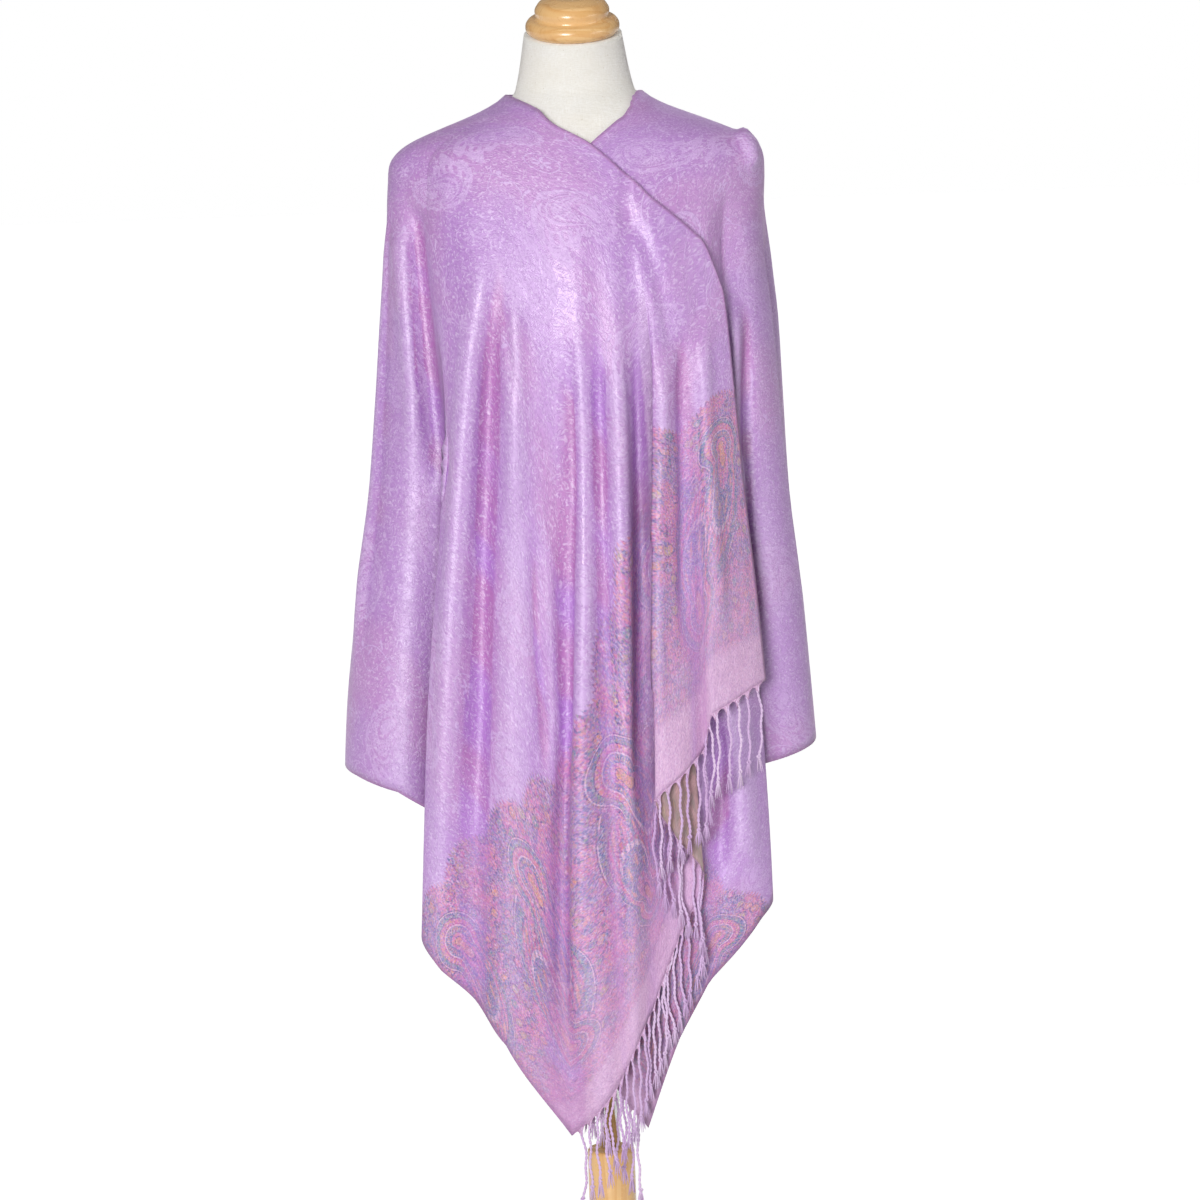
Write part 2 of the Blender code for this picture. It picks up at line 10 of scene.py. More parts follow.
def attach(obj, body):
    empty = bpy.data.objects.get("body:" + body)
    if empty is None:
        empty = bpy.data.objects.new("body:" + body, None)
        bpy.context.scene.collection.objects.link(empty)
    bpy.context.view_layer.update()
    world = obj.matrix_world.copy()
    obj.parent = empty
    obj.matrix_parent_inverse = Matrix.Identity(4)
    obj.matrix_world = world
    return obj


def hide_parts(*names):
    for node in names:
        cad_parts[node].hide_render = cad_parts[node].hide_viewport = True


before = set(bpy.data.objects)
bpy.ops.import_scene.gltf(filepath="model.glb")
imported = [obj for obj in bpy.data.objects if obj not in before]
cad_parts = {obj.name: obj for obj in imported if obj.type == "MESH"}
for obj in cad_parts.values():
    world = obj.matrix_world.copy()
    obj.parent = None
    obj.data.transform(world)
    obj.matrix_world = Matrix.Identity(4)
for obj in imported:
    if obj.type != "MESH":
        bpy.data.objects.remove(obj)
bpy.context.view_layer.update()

# Outline of the draped wrap: height, half width left and right, depth front and back.
outlineRows = [
    (1.412, 0.0655, 0.0635, 0.053, 0.066), (1.403, 0.0690, 0.0670, 0.056, 0.069),
    (1.396, 0.0780, 0.0765, 0.061, 0.074), (1.388, 0.0930, 0.0920, 0.066, 0.080),
    (1.380, 0.1120, 0.1120, 0.072, 0.086), (1.370, 0.1390, 0.1380, 0.078, 0.092),
    (1.360, 0.1640, 0.1620, 0.084, 0.097), (1.350, 0.1810, 0.1800, 0.089, 0.101),
    (1.338, 0.1910, 0.1890, 0.094, 0.105), (1.318, 0.1940, 0.1910, 0.102, 0.109),
    (1.280, 0.1970, 0.1890, 0.113, 0.114), (1.230, 0.2010, 0.1910, 0.124, 0.118),
    (1.170, 0.2060, 0.1970, 0.130, 0.120), (1.100, 0.2120, 0.2010, 0.131, 0.120),
    (1.000, 0.2230, 0.2070, 0.130, 0.119), (0.900, 0.2400, 0.2160, 0.129, 0.119),
    (0.800, 0.2550, 0.2230, 0.128, 0.120), (0.700, 0.2630, 0.2290, 0.127, 0.122),
    (0.550, 0.2700, 0.2350, 0.126, 0.122), (0.300, 0.2760, 0.2400, 0.124, 0.122),
]

# Folds in order along the cloth: name, angles at 1.20, 0.85 and 0.45 m up, how far the cloth
# stands out there in mm, and the heights where it starts and ends.
foldRows = [
    ("overSelvage", (-45.0, -47.9, -50.0), (8, 14, 16), 1.200, 0.805),
    ("overFlat", (-42.5, -42.0, -43.0), (8, 17, 19), 1.228, 0.798),
    ("stepEdge", (-39.0, -30.5, -28.0), (8, 18, 20), 1.253, 0.776),
    ("stepValley", (-36.0, -29.0, -27.5), (8, 11, 11), 1.261, 0.742),
    ("innerRidge", (-32.0, -22.5, -20.5), (8, 18, 20), 1.272, 0.716),
    ("pleatUpper", (-26.0, -18.0, -16.0), (10, 19, 20), 1.287, 0.703),
    ("frontFold", (-22.0, -15.5, -13.2), (11, 16, 16), 1.297, 0.690),
    ("pleatMiddle", (-19.5, -19.0, -19.5), (10, 11, 11), 1.305, 0.650),
    ("backFold", (-17.5, -24.0, -26.5), (9, 5, 5), 1.312, 0.607),
    ("pleatLower", (-15.5, -19.0, -19.0), (7, 0, 0), 1.318, 0.548),
    ("underFold", (-13.0, -13.0, -11.5), (7, 3, 3), 1.325, 0.473),
    ("rightRidge", (-10.0, -8.5, -7.0), (9, 14, 13), 1.335, 0.436),
    ("shortValley", (-4.4, -3.0, -3.5), (9, 6, 11), 1.352, 0.408),
    ("middleRidge", (1.0, 2.6, 2.0), (10, 15, 17), 1.362, 0.375),
    ("tip", (8.0, 7.8, 8.0), (9, 4, 5), 1.371, 0.345),
    ("leftBulge", (19.0, 18.0, 21.5), (10, 15, 15), 1.3850, 0.443),
    ("leftValley", (25.0, 27.0, 29.5), (10, 4, 3), 1.3895, 0.487),
    ("leftRidge", (33.0, 35.0, 37.5), (13, 16, 16), 1.3935, 0.521),
    ("panelEdge", (41.0, 40.0, 43.5), (8, 11, 11), 1.3965, 0.556),
    ("sideMiddle", (45.5, 36.0, 36.0), (5, 4, 3), 1.3980, 0.588),
    ("sideFold", (49.5, 30.0, 28.0), (2, -5, -5), 1.3990, 0.620),
    ("sideLower", (53.0, 37.0, 38.0), (-2, -14, -14), 1.4000, 0.650),
    ("sideValley", (56.5, 43.0, 45.0), (-5, -14, -14), 1.4008, 0.676),
    ("sleeveFront", (63.0, 51.5, 54.0), (0, 4, 4), 1.4018, 0.700),
    ("sleeveBulge", (75.0, 68.0, 70.0), (1, 7, 7), 1.4028, 0.713),
    ("leftSide", (90.0, 90.0, 90.0), (0, 0, 0), 1.4033, 0.722),
    ("backWave1", (105.0, 104.0, 104.0), (0, -6, -8), 1.405, 0.726),
    ("backWave2", (120.0, 121.0, 122.0), (1, 6, 9), 1.408, 0.724),
    ("backWave3", (136.0, 137.0, 138.0), (0, -7, -11), 1.410, 0.721),
    ("backWave4", (151.0, 152.0, 153.0), (1, 4, 7), 1.411, 0.719),
    ("backWave5", (166.0, 167.0, 167.0), (0, -5, -8), 1.412, 0.717),
    ("backWave6", (182.0, 183.0, 184.0), (1, 7, 11), 1.412, 0.717),
    ("backWave7", (197.0, 198.0, 199.0), (0, -4, -7), 1.412, 0.719),
    ("backWave8", (212.0, 213.0, 214.0), (1, 6, 8), 1.411, 0.722),
    ("backWave9", (226.0, 227.0, 228.0), (0, -7, -10), 1.410, 0.726),
    ("backWave10", (241.0, 241.0, 242.0), (1, 4, 8), 1.408, 0.729),
    ("backWave11", (256.0, 256.0, 256.0), (0, -5, -7), 1.406, 0.732),
    ("rightSide", (270.0, 270.0, 270.0), (0, 0, 0), 1.405, 0.735),
    ("rightBulge", (284.0, 285.0, 285.0), (1, 3, 3), 1.404, 0.727),
    ("rightSleeve", (296.0, 299.0, 299.0), (0, -3, -3), 1.402, 0.719),
    ("rightValley", (304.0, 309.5, 309.5), (-6, -15, -16), 1.399, 0.712),
    ("rightLower", (308.0, 317.0, 318.0), (-9, -18, -19), 1.398, 0.695),
    ("rightFold", (311.0, 324.0, 327.0), (-6, -14, -14), 1.396, 0.660),
    ("rightMiddle", (314.0, 318.0, 318.0), (-3, -10, -10), 1.394, 0.620),
    ("rightEdge", (318.0, 311.0, 311.5), (0, -5, -5), 1.392, 0.576),
    ("underFlat", (323.0, 317.0, 317.5), (0, 0, 0), 1.388, 0.555),
    ("underRidge", (329.0, 323.0, 324.0), (0, -2, -1), 1.384, 0.530),
    ("underValley", (336.0, 331.0, 333.0), (0, -7, -9), 1.378, 0.495),
    ("underLow", (343.0, 338.0, 341.0), (0, -8, -7), 1.372, 0.440),
    ("underTip", (351.0, 347.0, 348.8), (-1, -10, -8), 1.361, 0.347),
    ("underHidden1", (357.0, 355.0, 356.0), (-1, -11, -11), 1.348, 0.380),
    ("underHidden2", (364.0, 363.0, 363.0), (-1, -10, -10), 1.328, 0.424),
    ("underHidden3", (374.0, 373.0, 372.0), (-1, -13, -13), 1.299, 0.500),
    ("underHidden4", (386.0, 385.0, 384.0), (-2, -18, -18), 1.268, 0.620),
    ("underSelvage", (398.0, 398.0, 398.0), (-2, -21, -21), 1.205, 0.760),
]
foldNames = [row[0] for row in foldRows]
drape = {"width": 0.70, "thickness": 0.0008, "columns": 520, "rows": 88,
         "topLevel": 1.20, "midLevel": 0.85, "lowLevel": 0.45, "fade": 0.06,
         "shoulder": 1.31, "shoulderLift": 0.008,
         "shoulderWay": 0.150, "shoulderBend": 0.045, "shoulderRows": 0.085,
         "collarTop": 1.4035, "collarFrom": 1.345, "collarBlend": 0.03,
         "collarFolds": ("leftBulge", "leftSide", "rightSide", "rightEdge"),
         "collarLifts": (0.008, 0.002, 0.002, 0.0),
         "sharpFolds": ("frontFold", "backFold", "panelEdge", "sideFold", "rightEdge", "rightFold"),
         "sharpMore": 2.5, "sharpReach": 0.012,
         "cutColumns": 120, "cutRows": 22, "borderSettled": 0.80}


def hermiteWeights(knots, at):   # how much each row counts at a place between the rows
    weights = np.zeros((len(at), len(knots)))
    for line, place in enumerate(at):
        place = min(max(place, knots[0]), knots[-1])
        k = min(max(int(np.searchsorted(knots, place, side="right")) - 1, 0), len(knots) - 2)
        span = knots[k + 1] - knots[k]
        part = (place - knots[k]) / span
        weights[line, k] += 2 * part ** 3 - 3 * part ** 2 + 1
        weights[line, k + 1] += 3 * part ** 2 - 2 * part ** 3
        for end, share in ((k, part ** 3 - 2 * part ** 2 + part), (k + 1, part ** 3 - part ** 2)):
            before, after = max(end - 1, 0), min(end + 1, len(knots) - 1)
            slope = share * span / (knots[after] - knots[before])
            weights[line, after] += slope
            weights[line, before] -= slope
    return weights


outlineTable = np.array(outlineRows)
fineHeights = np.arange(outlineTable[0, 0], outlineTable[-1, 0] - 0.0005, -0.001)
fineOutline = hermiteWeights(-outlineTable[:, 0], -fineHeights) @ outlineTable[:, 1:]


def outlineAt(heights):
    flat = np.clip(heights, fineHeights[-1], fineHeights[0])
    return [np.interp(-flat, -fineHeights, fineOutline[:, side]) for side in range(4)]


def outlinePoints(angles, heights, lifts):   # angles from the front, turning to the viewer's left
    left, right, front, back = outlineAt(heights)
    turn = np.radians(angles)
    half = np.where(np.sin(turn) > 0, left, right)
    deep = np.where(np.cos(turn) > 0, front, back)
    outX, outY = -np.sin(turn) / half, -np.cos(turn) / deep
    size = np.hypot(outX, outY)
    return np.stack([-half * np.sin(turn) + outX / size * lifts,
                     -deep * np.cos(turn) + outY / size * lifts, heights], axis=-1)


def levelShares(heights):   # how much the middle and the low level's numbers count at a height
    below = np.maximum(0.0, drape["topLevel"] + drape["fade"] - heights)
    drop = below * below / (below + drape["fade"])
    middle, low = drape["topLevel"] - drape["midLevel"], drape["topLevel"] - drape["lowLevel"]
    return (drop * (low - drop) / (middle * (low - middle)),
            drop * (drop - middle) / (low * (low - middle)))


def run(parts):   # how far along each end of the parts lies
    return np.concatenate([[0.0], np.cumsum(parts)])


foldAngles = np.array([row[1] for row in foldRows])
foldLifts = np.array([row[2] for row in foldRows]) / 1000
foldStarts = np.array([row[3] for row in foldRows])
foldEnds = np.array([row[4] for row in foldRows])
midPoints = outlinePoints(foldAngles[:, 1], np.full(len(foldRows), drape["midLevel"]), foldLifts[:, 1])
foldPlaces = run(np.linalg.norm(np.diff(midPoints, axis=0), axis=1))
placeOf = dict(zip(foldNames, foldPlaces))


def columnOf(places, name):
    return int(np.argmin(abs(places - placeOf[name])))


def clothPoints(places, heights):   # heights has one row for each place
    weights = hermiteWeights(foldPlaces, places)
    shareMid, shareLow = levelShares(heights)

    def mixed(table):
        top, mid, low = (weights @ table[:, k] for k in range(3))
        return top[:, None] + (mid - top)[:, None] * shareMid + (low - top)[:, None] * shareLow
    angles, lifts = mixed(foldAngles), mixed(foldLifts)
    over = np.clip(lifts, 0, drape["shoulderLift"])
    collarPlaces = [placeOf[name] for name in drape["collarFolds"]]
    collar = np.interp(places, collarPlaces, drape["collarLifts"])[:, None]
    over = over + (collar - over) * np.clip((heights - drape["collarFrom"]) / drape["collarBlend"], 0, 1)
    lifts = over + (lifts - over) * np.clip((drape["shoulder"] - heights) / drape["fade"], 0, 1)
    return outlinePoints(angles, heights, lifts)


# Creases laid on the drape: name, side seen, first and last fold they may lie on, half width and
# depth in mm, where a minus goes in, and places across and up in mm.
creaseRows = [
    ("sleeveValley", "front", "rightRidge", "sleeveBulge", 10, -7,
     ((-185, 1310), (-168, 1280), (-162, 1197), (-157, 1129), (-150, 1053), (-143, 983))),
    ("sleeveRidge", "front", "panelEdge", "leftSide", 10, 4,
     ((-180, 1287), (-182, 1243), (-176, 1172), (-173, 1102), (-176, 1021))),
    ("bustRidge", "front", "tip", "panelEdge", 13, 5,
     ((-91, 1266), (-99, 1212), (-112, 1133), (-126, 1034), (-140, 904), (-152, 743), (-163, 620))),
    ("rosyValley", "front", "tip", "panelEdge", 10, -7,
     ((-91, 1202), (-97, 1123), (-103, 1028), (-112, 904), (-118, 782), (-126, 640))),
    ("besideRidge", "front", "tip", "panelEdge", 10, 4,
     ((-68, 1211), (-70, 1142), (-70, 1062), (-78, 963))),
    ("thinValley", "front", "tip", "leftRidge", 5, -3, ((-75, 1190), (-73, 1157), (-70, 1102))),
    ("streak", "front", "middleRidge", "leftRidge", 5, -3,
     ((-56, 982), (-57, 861), (-54, 800), (-52, 729))),
    ("streakRidge", "front", "middleRidge", "leftRidge", 7, 3,
     ((-42, 982), (-43, 861), (-41, 780), (-48, 657))),
    ("violetValley", "front", "rightRidge", "leftValley", 8, -7,
     ((-16, 1190), (-15, 1100), (-17, 1001), (-23, 900), (-28, 800), (-38, 647), (-44, 492), (-44, 388))),
    ("violetRidge", "front", "rightRidge", "leftBulge", 10, 5,
     ((-4, 1040), (-8, 900), (-14, 799), (-23, 646), (-28, 513), (-28, 409))),
    ("shortDip", "front", "rightRidge", "middleRidge", 7, -5, ((14, 1140), (14, 1070), (13, 971))),
    ("shortRise", "front", "underFold", "middleRidge", 10, 4,
     ((32, 1149), (33, 1060), (31, 940), (25, 799))),
    ("foldShadow", "front", "pleatLower", "middleRidge", 9, -8,
     ((58, 1178), (57, 1079), (53, 939), (49, 798), (40, 636))),
    ("foldRidge", "front", "overSelvage", "pleatMiddle", 8, 4,
     ((78, 1158), (77, 1079), (70, 980), (66, 860), (64, 718))),
    ("panelValley", "front", "overSelvage", "frontFold", 7, -6,
     ((101, 1186), (98, 1097), (97, 1018), (94, 938), (91, 817))),
    ("panelRidge", "front", "overSelvage", "frontFold", 8, 4,
     ((119, 1195), (118, 1097), (123, 997), (126, 917), (128, 836))),
    ("crossDip", "front", "overSelvage", "middleRidge", 9, -3,
     ((34, 1306), (69, 1245), (85, 1176), (91, 1126))),
    ("underBand", "front", "rightSleeve", "underLow", 9, 7, ((153, 1203), (149, 1073), (148, 953))),
    ("underEdge", "front", "rightSleeve", "underLow", 7, -6,
     ((168, 1182), (162, 1092), (160, 1012), (161, 911), (173, 829))),
    ("underDip", "front", "rightEdge", "underHidden1", 10, -6,
     ((122, 801), (126, 713), (124, 658), (115, 586))),
    ("underRise", "front", "rightEdge", "underLow", 12, 4, ((144, 790), (145, 698), (150, 605))),
    ("shoulderRight", "front", "rightSide", "underLow", 8, 5, ((163, 1362), (175, 1344), (178, 1319))),
    ("leftSleeve1", "side", "sleeveBulge", "backWave2", 13, 5,
     ((-34, 1325), (-36, 1190), (-40, 1000), (-38, 790))),
    ("leftSleeve2", "side", "sleeveBulge", "backWave2", 9, -6,
     ((-10, 1300), (-7, 1120), (-2, 900), (0, 790))),
    ("leftSleeve3", "side", "sleeveBulge", "backWave2", 12, 5,
     ((20, 1315), (26, 1150), (31, 960), (36, 770))),
    ("leftSleeve4", "side", "sleeveBulge", "backWave3", 9, -6,
     ((50, 1290), (57, 1130), (60, 930), (64, 790))),
    ("rightSleeve1", "side", "backWave9", "rightBulge", 12, 5,
     ((-40, 1300), (-44, 1150), (-40, 940), (-44, 780))),
    ("rightSleeve2", "side", "backWave9", "rightBulge", 9, -6, ((-16, 1270), (-13, 1080), (-14, 880))),
    ("rightSleeve3", "side", "backWave9", "rightBulge", 13, 5,
     ((14, 1320), (17, 1170), (24, 960), (22, 790))),
    ("rightSleeve4", "side", "backWave8", "rightBulge", 9, -5, ((46, 1260), (50, 1080), (58, 860))),
    ("backSwag1", "back", "backWave1", "backWave11", 15, -5,
     ((-128, 1300), (-66, 1254), (0, 1238), (62, 1257), (124, 1306))),
    ("backSwag2", "back", "backWave1", "backWave11", 13, 4,
     ((-104, 1340), (-52, 1305), (2, 1292), (54, 1308), (100, 1344))),
    ("backSwag3", "back", "backWave2", "backWave10", 14, 4,
     ((-88, 1232), (-30, 1196), (24, 1190), (70, 1212))),
    ("backFall1", "back", "backWave1", "backWave11", 10, -6,
     ((-72, 1225), (-79, 1050), (-84, 860), (-88, 745))),
    ("backFall2", "back", "backWave1", "backWave11", 12, 5, ((-20, 1175), (-25, 980), (-22, 775))),
    ("backFall3", "back", "backWave1", "backWave11", 10, -6, ((31, 1185), (34, 1000), (41, 810))),
    ("backFall4", "back", "backWave1", "backWave11", 12, 5, ((80, 1215), (86, 1010), (92, 780))),
    ("backFall5", "back", "backWave1", "backWave11", 9, -5, ((124, 1240), (131, 1040), (138, 850))),
    ("backFall6", "back", "backWave1", "backWave11", 12, 4, ((-132, 1255), (-143, 1070), (-152, 880))),
]

# How much stronger the creases are than in the rows, the share of their length that fades out at each
# end, and the way in m beside their first and last fold.
crease = {"riseMore": 1.5, "dipMore": 1.2, "ends": 0.22, "beside": 0.015}
# For the satin's painted tones by fold, painted shade in the valleys, painted highlight on the ridges and
# painted shadow beside overlapping folds: rounds of evening out, and reaches and heights in m.
foldTone = {"reliefReach": 0.0035, "foldTurns": 50, "evenTurns": 160,
            "shadeFoot": 0.02, "shadeTop": 1.25, "shadeFade": 0.10, "selvageReach": 0.05}


def outwardNormals(points):
    normals = np.cross(np.gradient(points, axis=0), np.gradient(points, axis=1))
    normals /= np.linalg.norm(normals, axis=2, keepdims=True) + 1e-12
    return normals * np.sign(normals[..., :1] * points[..., :1] + normals[..., 1:2] * points[..., 1:2])


def spread(field, turns):   # evens a field out along the cloth
    for turn in range(turns):
        field = np.concatenate([field[:1], (field[:-2] + 2 * field[1:-1] + field[2:]) / 4, field[-1:]])
    return field


def foldRelief(points):   # from 0 deep in a fold to 1 on a ridge, for the satin's painted valley shade and ridge highlight
    outward = outwardNormals(points)
    relief = ((points - spread(points, foldTone["foldTurns"])) * outward).sum(axis=2)
    relief -= spread(relief, foldTone["evenTurns"])
    return np.clip(relief / (2 * foldTone["reliefReach"]) + 0.5, 0, 1)


def addCreases(places, points):
    move = np.zeros(points.shape[:2])
    for name, side, first, last, wide, deep, spots in creaseRows:
        across = points[..., 1] if side == "side" else points[..., 0]
        spots = np.array(spots) / 1000
        nearest = np.full(points.shape[:2], 9.0)
        share = np.zeros(points.shape[:2])
        for k, (start, end) in enumerate(zip(spots, spots[1:])):
            leg = end - start
            part = ((across - start[0]) * leg[0] + (points[..., 2] - start[1]) * leg[1]) / (leg @ leg)
            part = np.clip(part, 0, 1)
            away = np.hypot(across - start[0] - part * leg[0], points[..., 2] - start[1] - part * leg[1])
            share = np.where(away < nearest, (k + part) / (len(spots) - 1), share)
            nearest = np.minimum(away, nearest)
        inside = (np.clip((places - placeOf[first]) / crease["beside"], 0, 1)
                  * np.clip((placeOf[last] - places) / crease["beside"], 0, 1))[:, None]
        ends = np.clip(share / crease["ends"], 0, 1) * np.clip((1 - share) / crease["ends"], 0, 1)
        deep = deep * (crease["riseMore"] if deep > 0 else crease["dipMore"]) / 1000
        move += deep * np.exp(-(nearest / (wide / 1000)) ** 2) * inside * ends * ends * (3 - 2 * ends)
    return points + outwardNormals(points) * move[..., None]


# Way down the side, drawn out where it turns over the shoulder, so that the rows lie evenly.
sideWay = run(np.hypot(np.diff(fineHeights), np.diff(fineOutline[:, 0])))
overShoulder = np.tanh((sideWay - drape["shoulderWay"]) / drape["shoulderBend"])
rowTable = sideWay + drape["shoulderRows"] * overShoulder


def columnHeights(places, rows):
    starts = np.minimum(hermiteWeights(foldPlaces, places) @ foldStarts, drape["collarTop"])
    ends = np.interp(places, foldPlaces, foldEnds)
    first, last = np.interp(-starts, -fineHeights, rowTable), np.interp(-ends, -fineHeights, rowTable)
    measures = first[:, None] + (last - first)[:, None] * np.linspace(0, 1, rows)[None, :]
    return np.interp(measures, rowTable, fineHeights)


def columnPlaces(count):   # closer together at the sharp folds
    fine = np.linspace(0, foldPlaces[-1], 6000)
    density = np.ones_like(fine)
    for name in drape["sharpFolds"]:
        density += drape["sharpMore"] * np.exp(-((fine - placeOf[name]) / drape["sharpReach"]) ** 2)
    total = run((density[1:] + density[:-1]) / 2 * np.diff(fine))
    places = np.interp(np.linspace(0, total[-1], count), total, fine)
    for name in ("tip", "underTip"):   # a column on each corner keeps it sharp
        places[columnOf(places, name)] = placeOf[name]
    return places


def evenCut(points, tipColumn, underTipColumn):
    # The rim's lengths give the flat cloth's rim, and each inner point settles between its neighbours.
    columns, rows = points.shape[:2]
    steps = np.linalg.norm(np.diff(points, axis=0), axis=2)
    drops = np.linalg.norm(np.diff(points, axis=1), axis=2)
    inner = run(np.concatenate([drops[0][::-1], steps[:, 0], drops[-1]]))
    outer = run(steps[tipColumn:underTipColumn, -1])
    length = (inner[-1] + outer[-1]) / 2
    inner *= length / inner[-1]
    over, under = run(steps[:tipColumn, -1]), run(steps[underTipColumn:, -1])
    flat = np.full((columns, rows, 2), np.nan)
    flat[0, :, 0], flat[0, :, 1] = inner[:rows][::-1], 0.0
    flat[-1, :, 0], flat[-1, :, 1] = inner[-rows:], 0.0
    flat[:, 0, 0], flat[:, 0, 1] = inner[rows - 1:rows - 1 + columns], 0.0
    flat[:tipColumn + 1, -1, 0], flat[:tipColumn + 1, -1, 1] = 0.0, over / over[-1] * drape["width"]
    flat[tipColumn:underTipColumn + 1, -1, 0] = outer * length / outer[-1]
    flat[tipColumn:underTipColumn + 1, -1, 1] = drape["width"]
    flat[underTipColumn:, -1, 0] = length
    flat[underTipColumn:, -1, 1] = (1 - under / under[-1]) * drape["width"]
    wide = np.pad(drops, ((0, 0), (1, 1)), mode="edge")
    wide = (wide[:, 1:] + wide[:, :-1]) / 2
    tall = np.pad(steps, ((1, 1), (0, 0)), mode="edge")
    tall = (tall[1:] + tall[:-1]) / 2
    pulls = np.concatenate([((wide[1:] + wide[:-1]) / 2 / steps).ravel(),
                            ((tall[:, 1:] + tall[:, :-1]) / 2 / drops).ravel()]).clip(0.05, 20)
    index = np.arange(columns * rows).reshape(columns, rows)
    ones = np.concatenate([index[:-1].ravel(), index[:, :-1].ravel()])
    others = np.concatenate([index[1:].ravel(), index[:, 1:].ravel()])
    matrix = np.zeros((columns * rows, columns * rows))
    matrix[ones, others] = matrix[others, ones] = -pulls
    np.fill_diagonal(matrix, -matrix.sum(axis=1))
    place = flat.reshape(-1, 2)
    free = np.isnan(place[:, 0])
    place[free] = np.linalg.solve(matrix[np.ix_(free, free)], -matrix[np.ix_(free, ~free)] @ place[~free])
    return place.reshape(columns, rows, 2), length


# Across the cut, and how far from the over end and the under end the border's start lies in the even map.
borderAt = [(0.0, 0.310, 0.300), (0.05, 0.320, 0.290), (0.18, 0.370, 0.270), (0.24, 0.345, 0.265),
            (0.35, 0.290, 0.260), (0.50, 0.280, 0.240), (0.64, 0.275, 0.235), (0.70, 0.270, 0.270)]


def settleBorder(flat, length):   # stretches both ends so that the border starts where it is seen to
    u, v = flat[..., 0], flat[..., 1]
    for end in (0, 1):
        far = np.clip(length - u if end else u, 0, None)
        start = np.interp(v, [row[0] for row in borderAt], [row[1 + end] for row in borderAt])
        settled = drape["borderSettled"]
        reach = np.minimum(far / start, 1) * np.clip((settled - far) / (settled - start), 0, 1)
        more = (weave["borderStart"] - start) * reach
        u = u - more if end else u + more
    return np.stack([np.clip(u, 0, length), v], axis=2)


def flattenCloth():
    places = columnPlaces(drape["cutColumns"])
    points = clothPoints(places, columnHeights(places, drape["cutRows"]))
    flat, length = evenCut(points, columnOf(places, "tip"), columnOf(places, "underTip"))
    return settleBorder(flat, length), length, places


def resample(grid, oldPlaces, newPlaces, rows):   # from the coarse grid to the fine one
    down, fineDown = np.linspace(0, 1, grid.shape[1]), np.linspace(0, 1, rows)

    def finer(table):
        tall = np.stack([np.interp(fineDown, down, line) for line in table])
        return np.stack([np.interp(newPlaces, oldPlaces, line) for line in tall.T], axis=1)
    return np.stack([finer(grid[..., k]) for k in range(2)], axis=-1)


def newPiece(name, builder, materials, smooth=True):
    mesh = bpy.data.meshes.new(name)
    builder.to_mesh(mesh)
    builder.free()
    piece = bpy.data.objects.new(name, mesh)
    bpy.context.scene.collection.objects.link(piece)
    for material in materials:
        mesh.materials.append(material)
    if smooth:
        mesh.polygons.foreach_set("use_smooth", [True] * len(mesh.polygons))
    return piece


# Where a fold lies over the cloth behind it, a shadow is painted on that cloth: its edge, the first and
# last fold behind, the painted shadow's reach in m and its strength.
shadeRows = [("frontFold", "backFold", "rightRidge", 0.012, 1.0),
             ("panelEdge", "sideFold", "sleeveBulge", 0.009, 0.9),
             ("stepEdge", "stepValley", "innerRidge", 0.006, 0.5),
             ("overSelvage", "rightSleeve", "underLow", 0.003, 0.8),
             ("rightEdge", "rightFold", "rightSleeve", 0.010, 0.7)]


def foldShade(places, points):   # painted shadow, 1 close beside a fold that lies over the cloth
    shade = np.zeros(points.shape[:2])
    heights = points[..., 2]
    top = np.clip((foldTone["shadeTop"] - heights) / foldTone["shadeFade"], 0, 1)
    for edge, first, last, reach, strength in shadeRows:
        line = points[columnOf(places, edge)]
        order = np.argsort(line[:, 2])
        across = np.interp(heights, line[order, 2], line[order, 0])
        low, high = sorted((placeOf[first], placeOf[last]))
        beside = ((places >= low) & (places <= high))[:, None]
        foot = np.clip((heights - line[:, 2].min()) / foldTone["shadeFoot"], 0, 1)
        near = np.exp(-abs(points[..., 0] - across) / reach)
        shade = np.maximum(shade, beside * foot * top * strength * near)
    return shade


def selvageWays(places, points):   # how far each point is from the selvages
    tip, underTip = columnOf(places, "tip"), columnOf(places, "underTip")
    selvages = [points[:, 0], points[0], points[-1], points[tip:underTip + 1, -1]]
    dense = [start + (end - start) * part for line in selvages for start, end in zip(line, line[1:])
             for part in (0.0, 0.25, 0.5, 0.75)]
    tree = KDTree(len(dense))
    for k, spot in enumerate(dense):
        tree.insert(spot, k)
    tree.balance()
    return [min(tree.find(spot)[2], foldTone["selvageReach"]) for spot in points.reshape(-1, 3)]


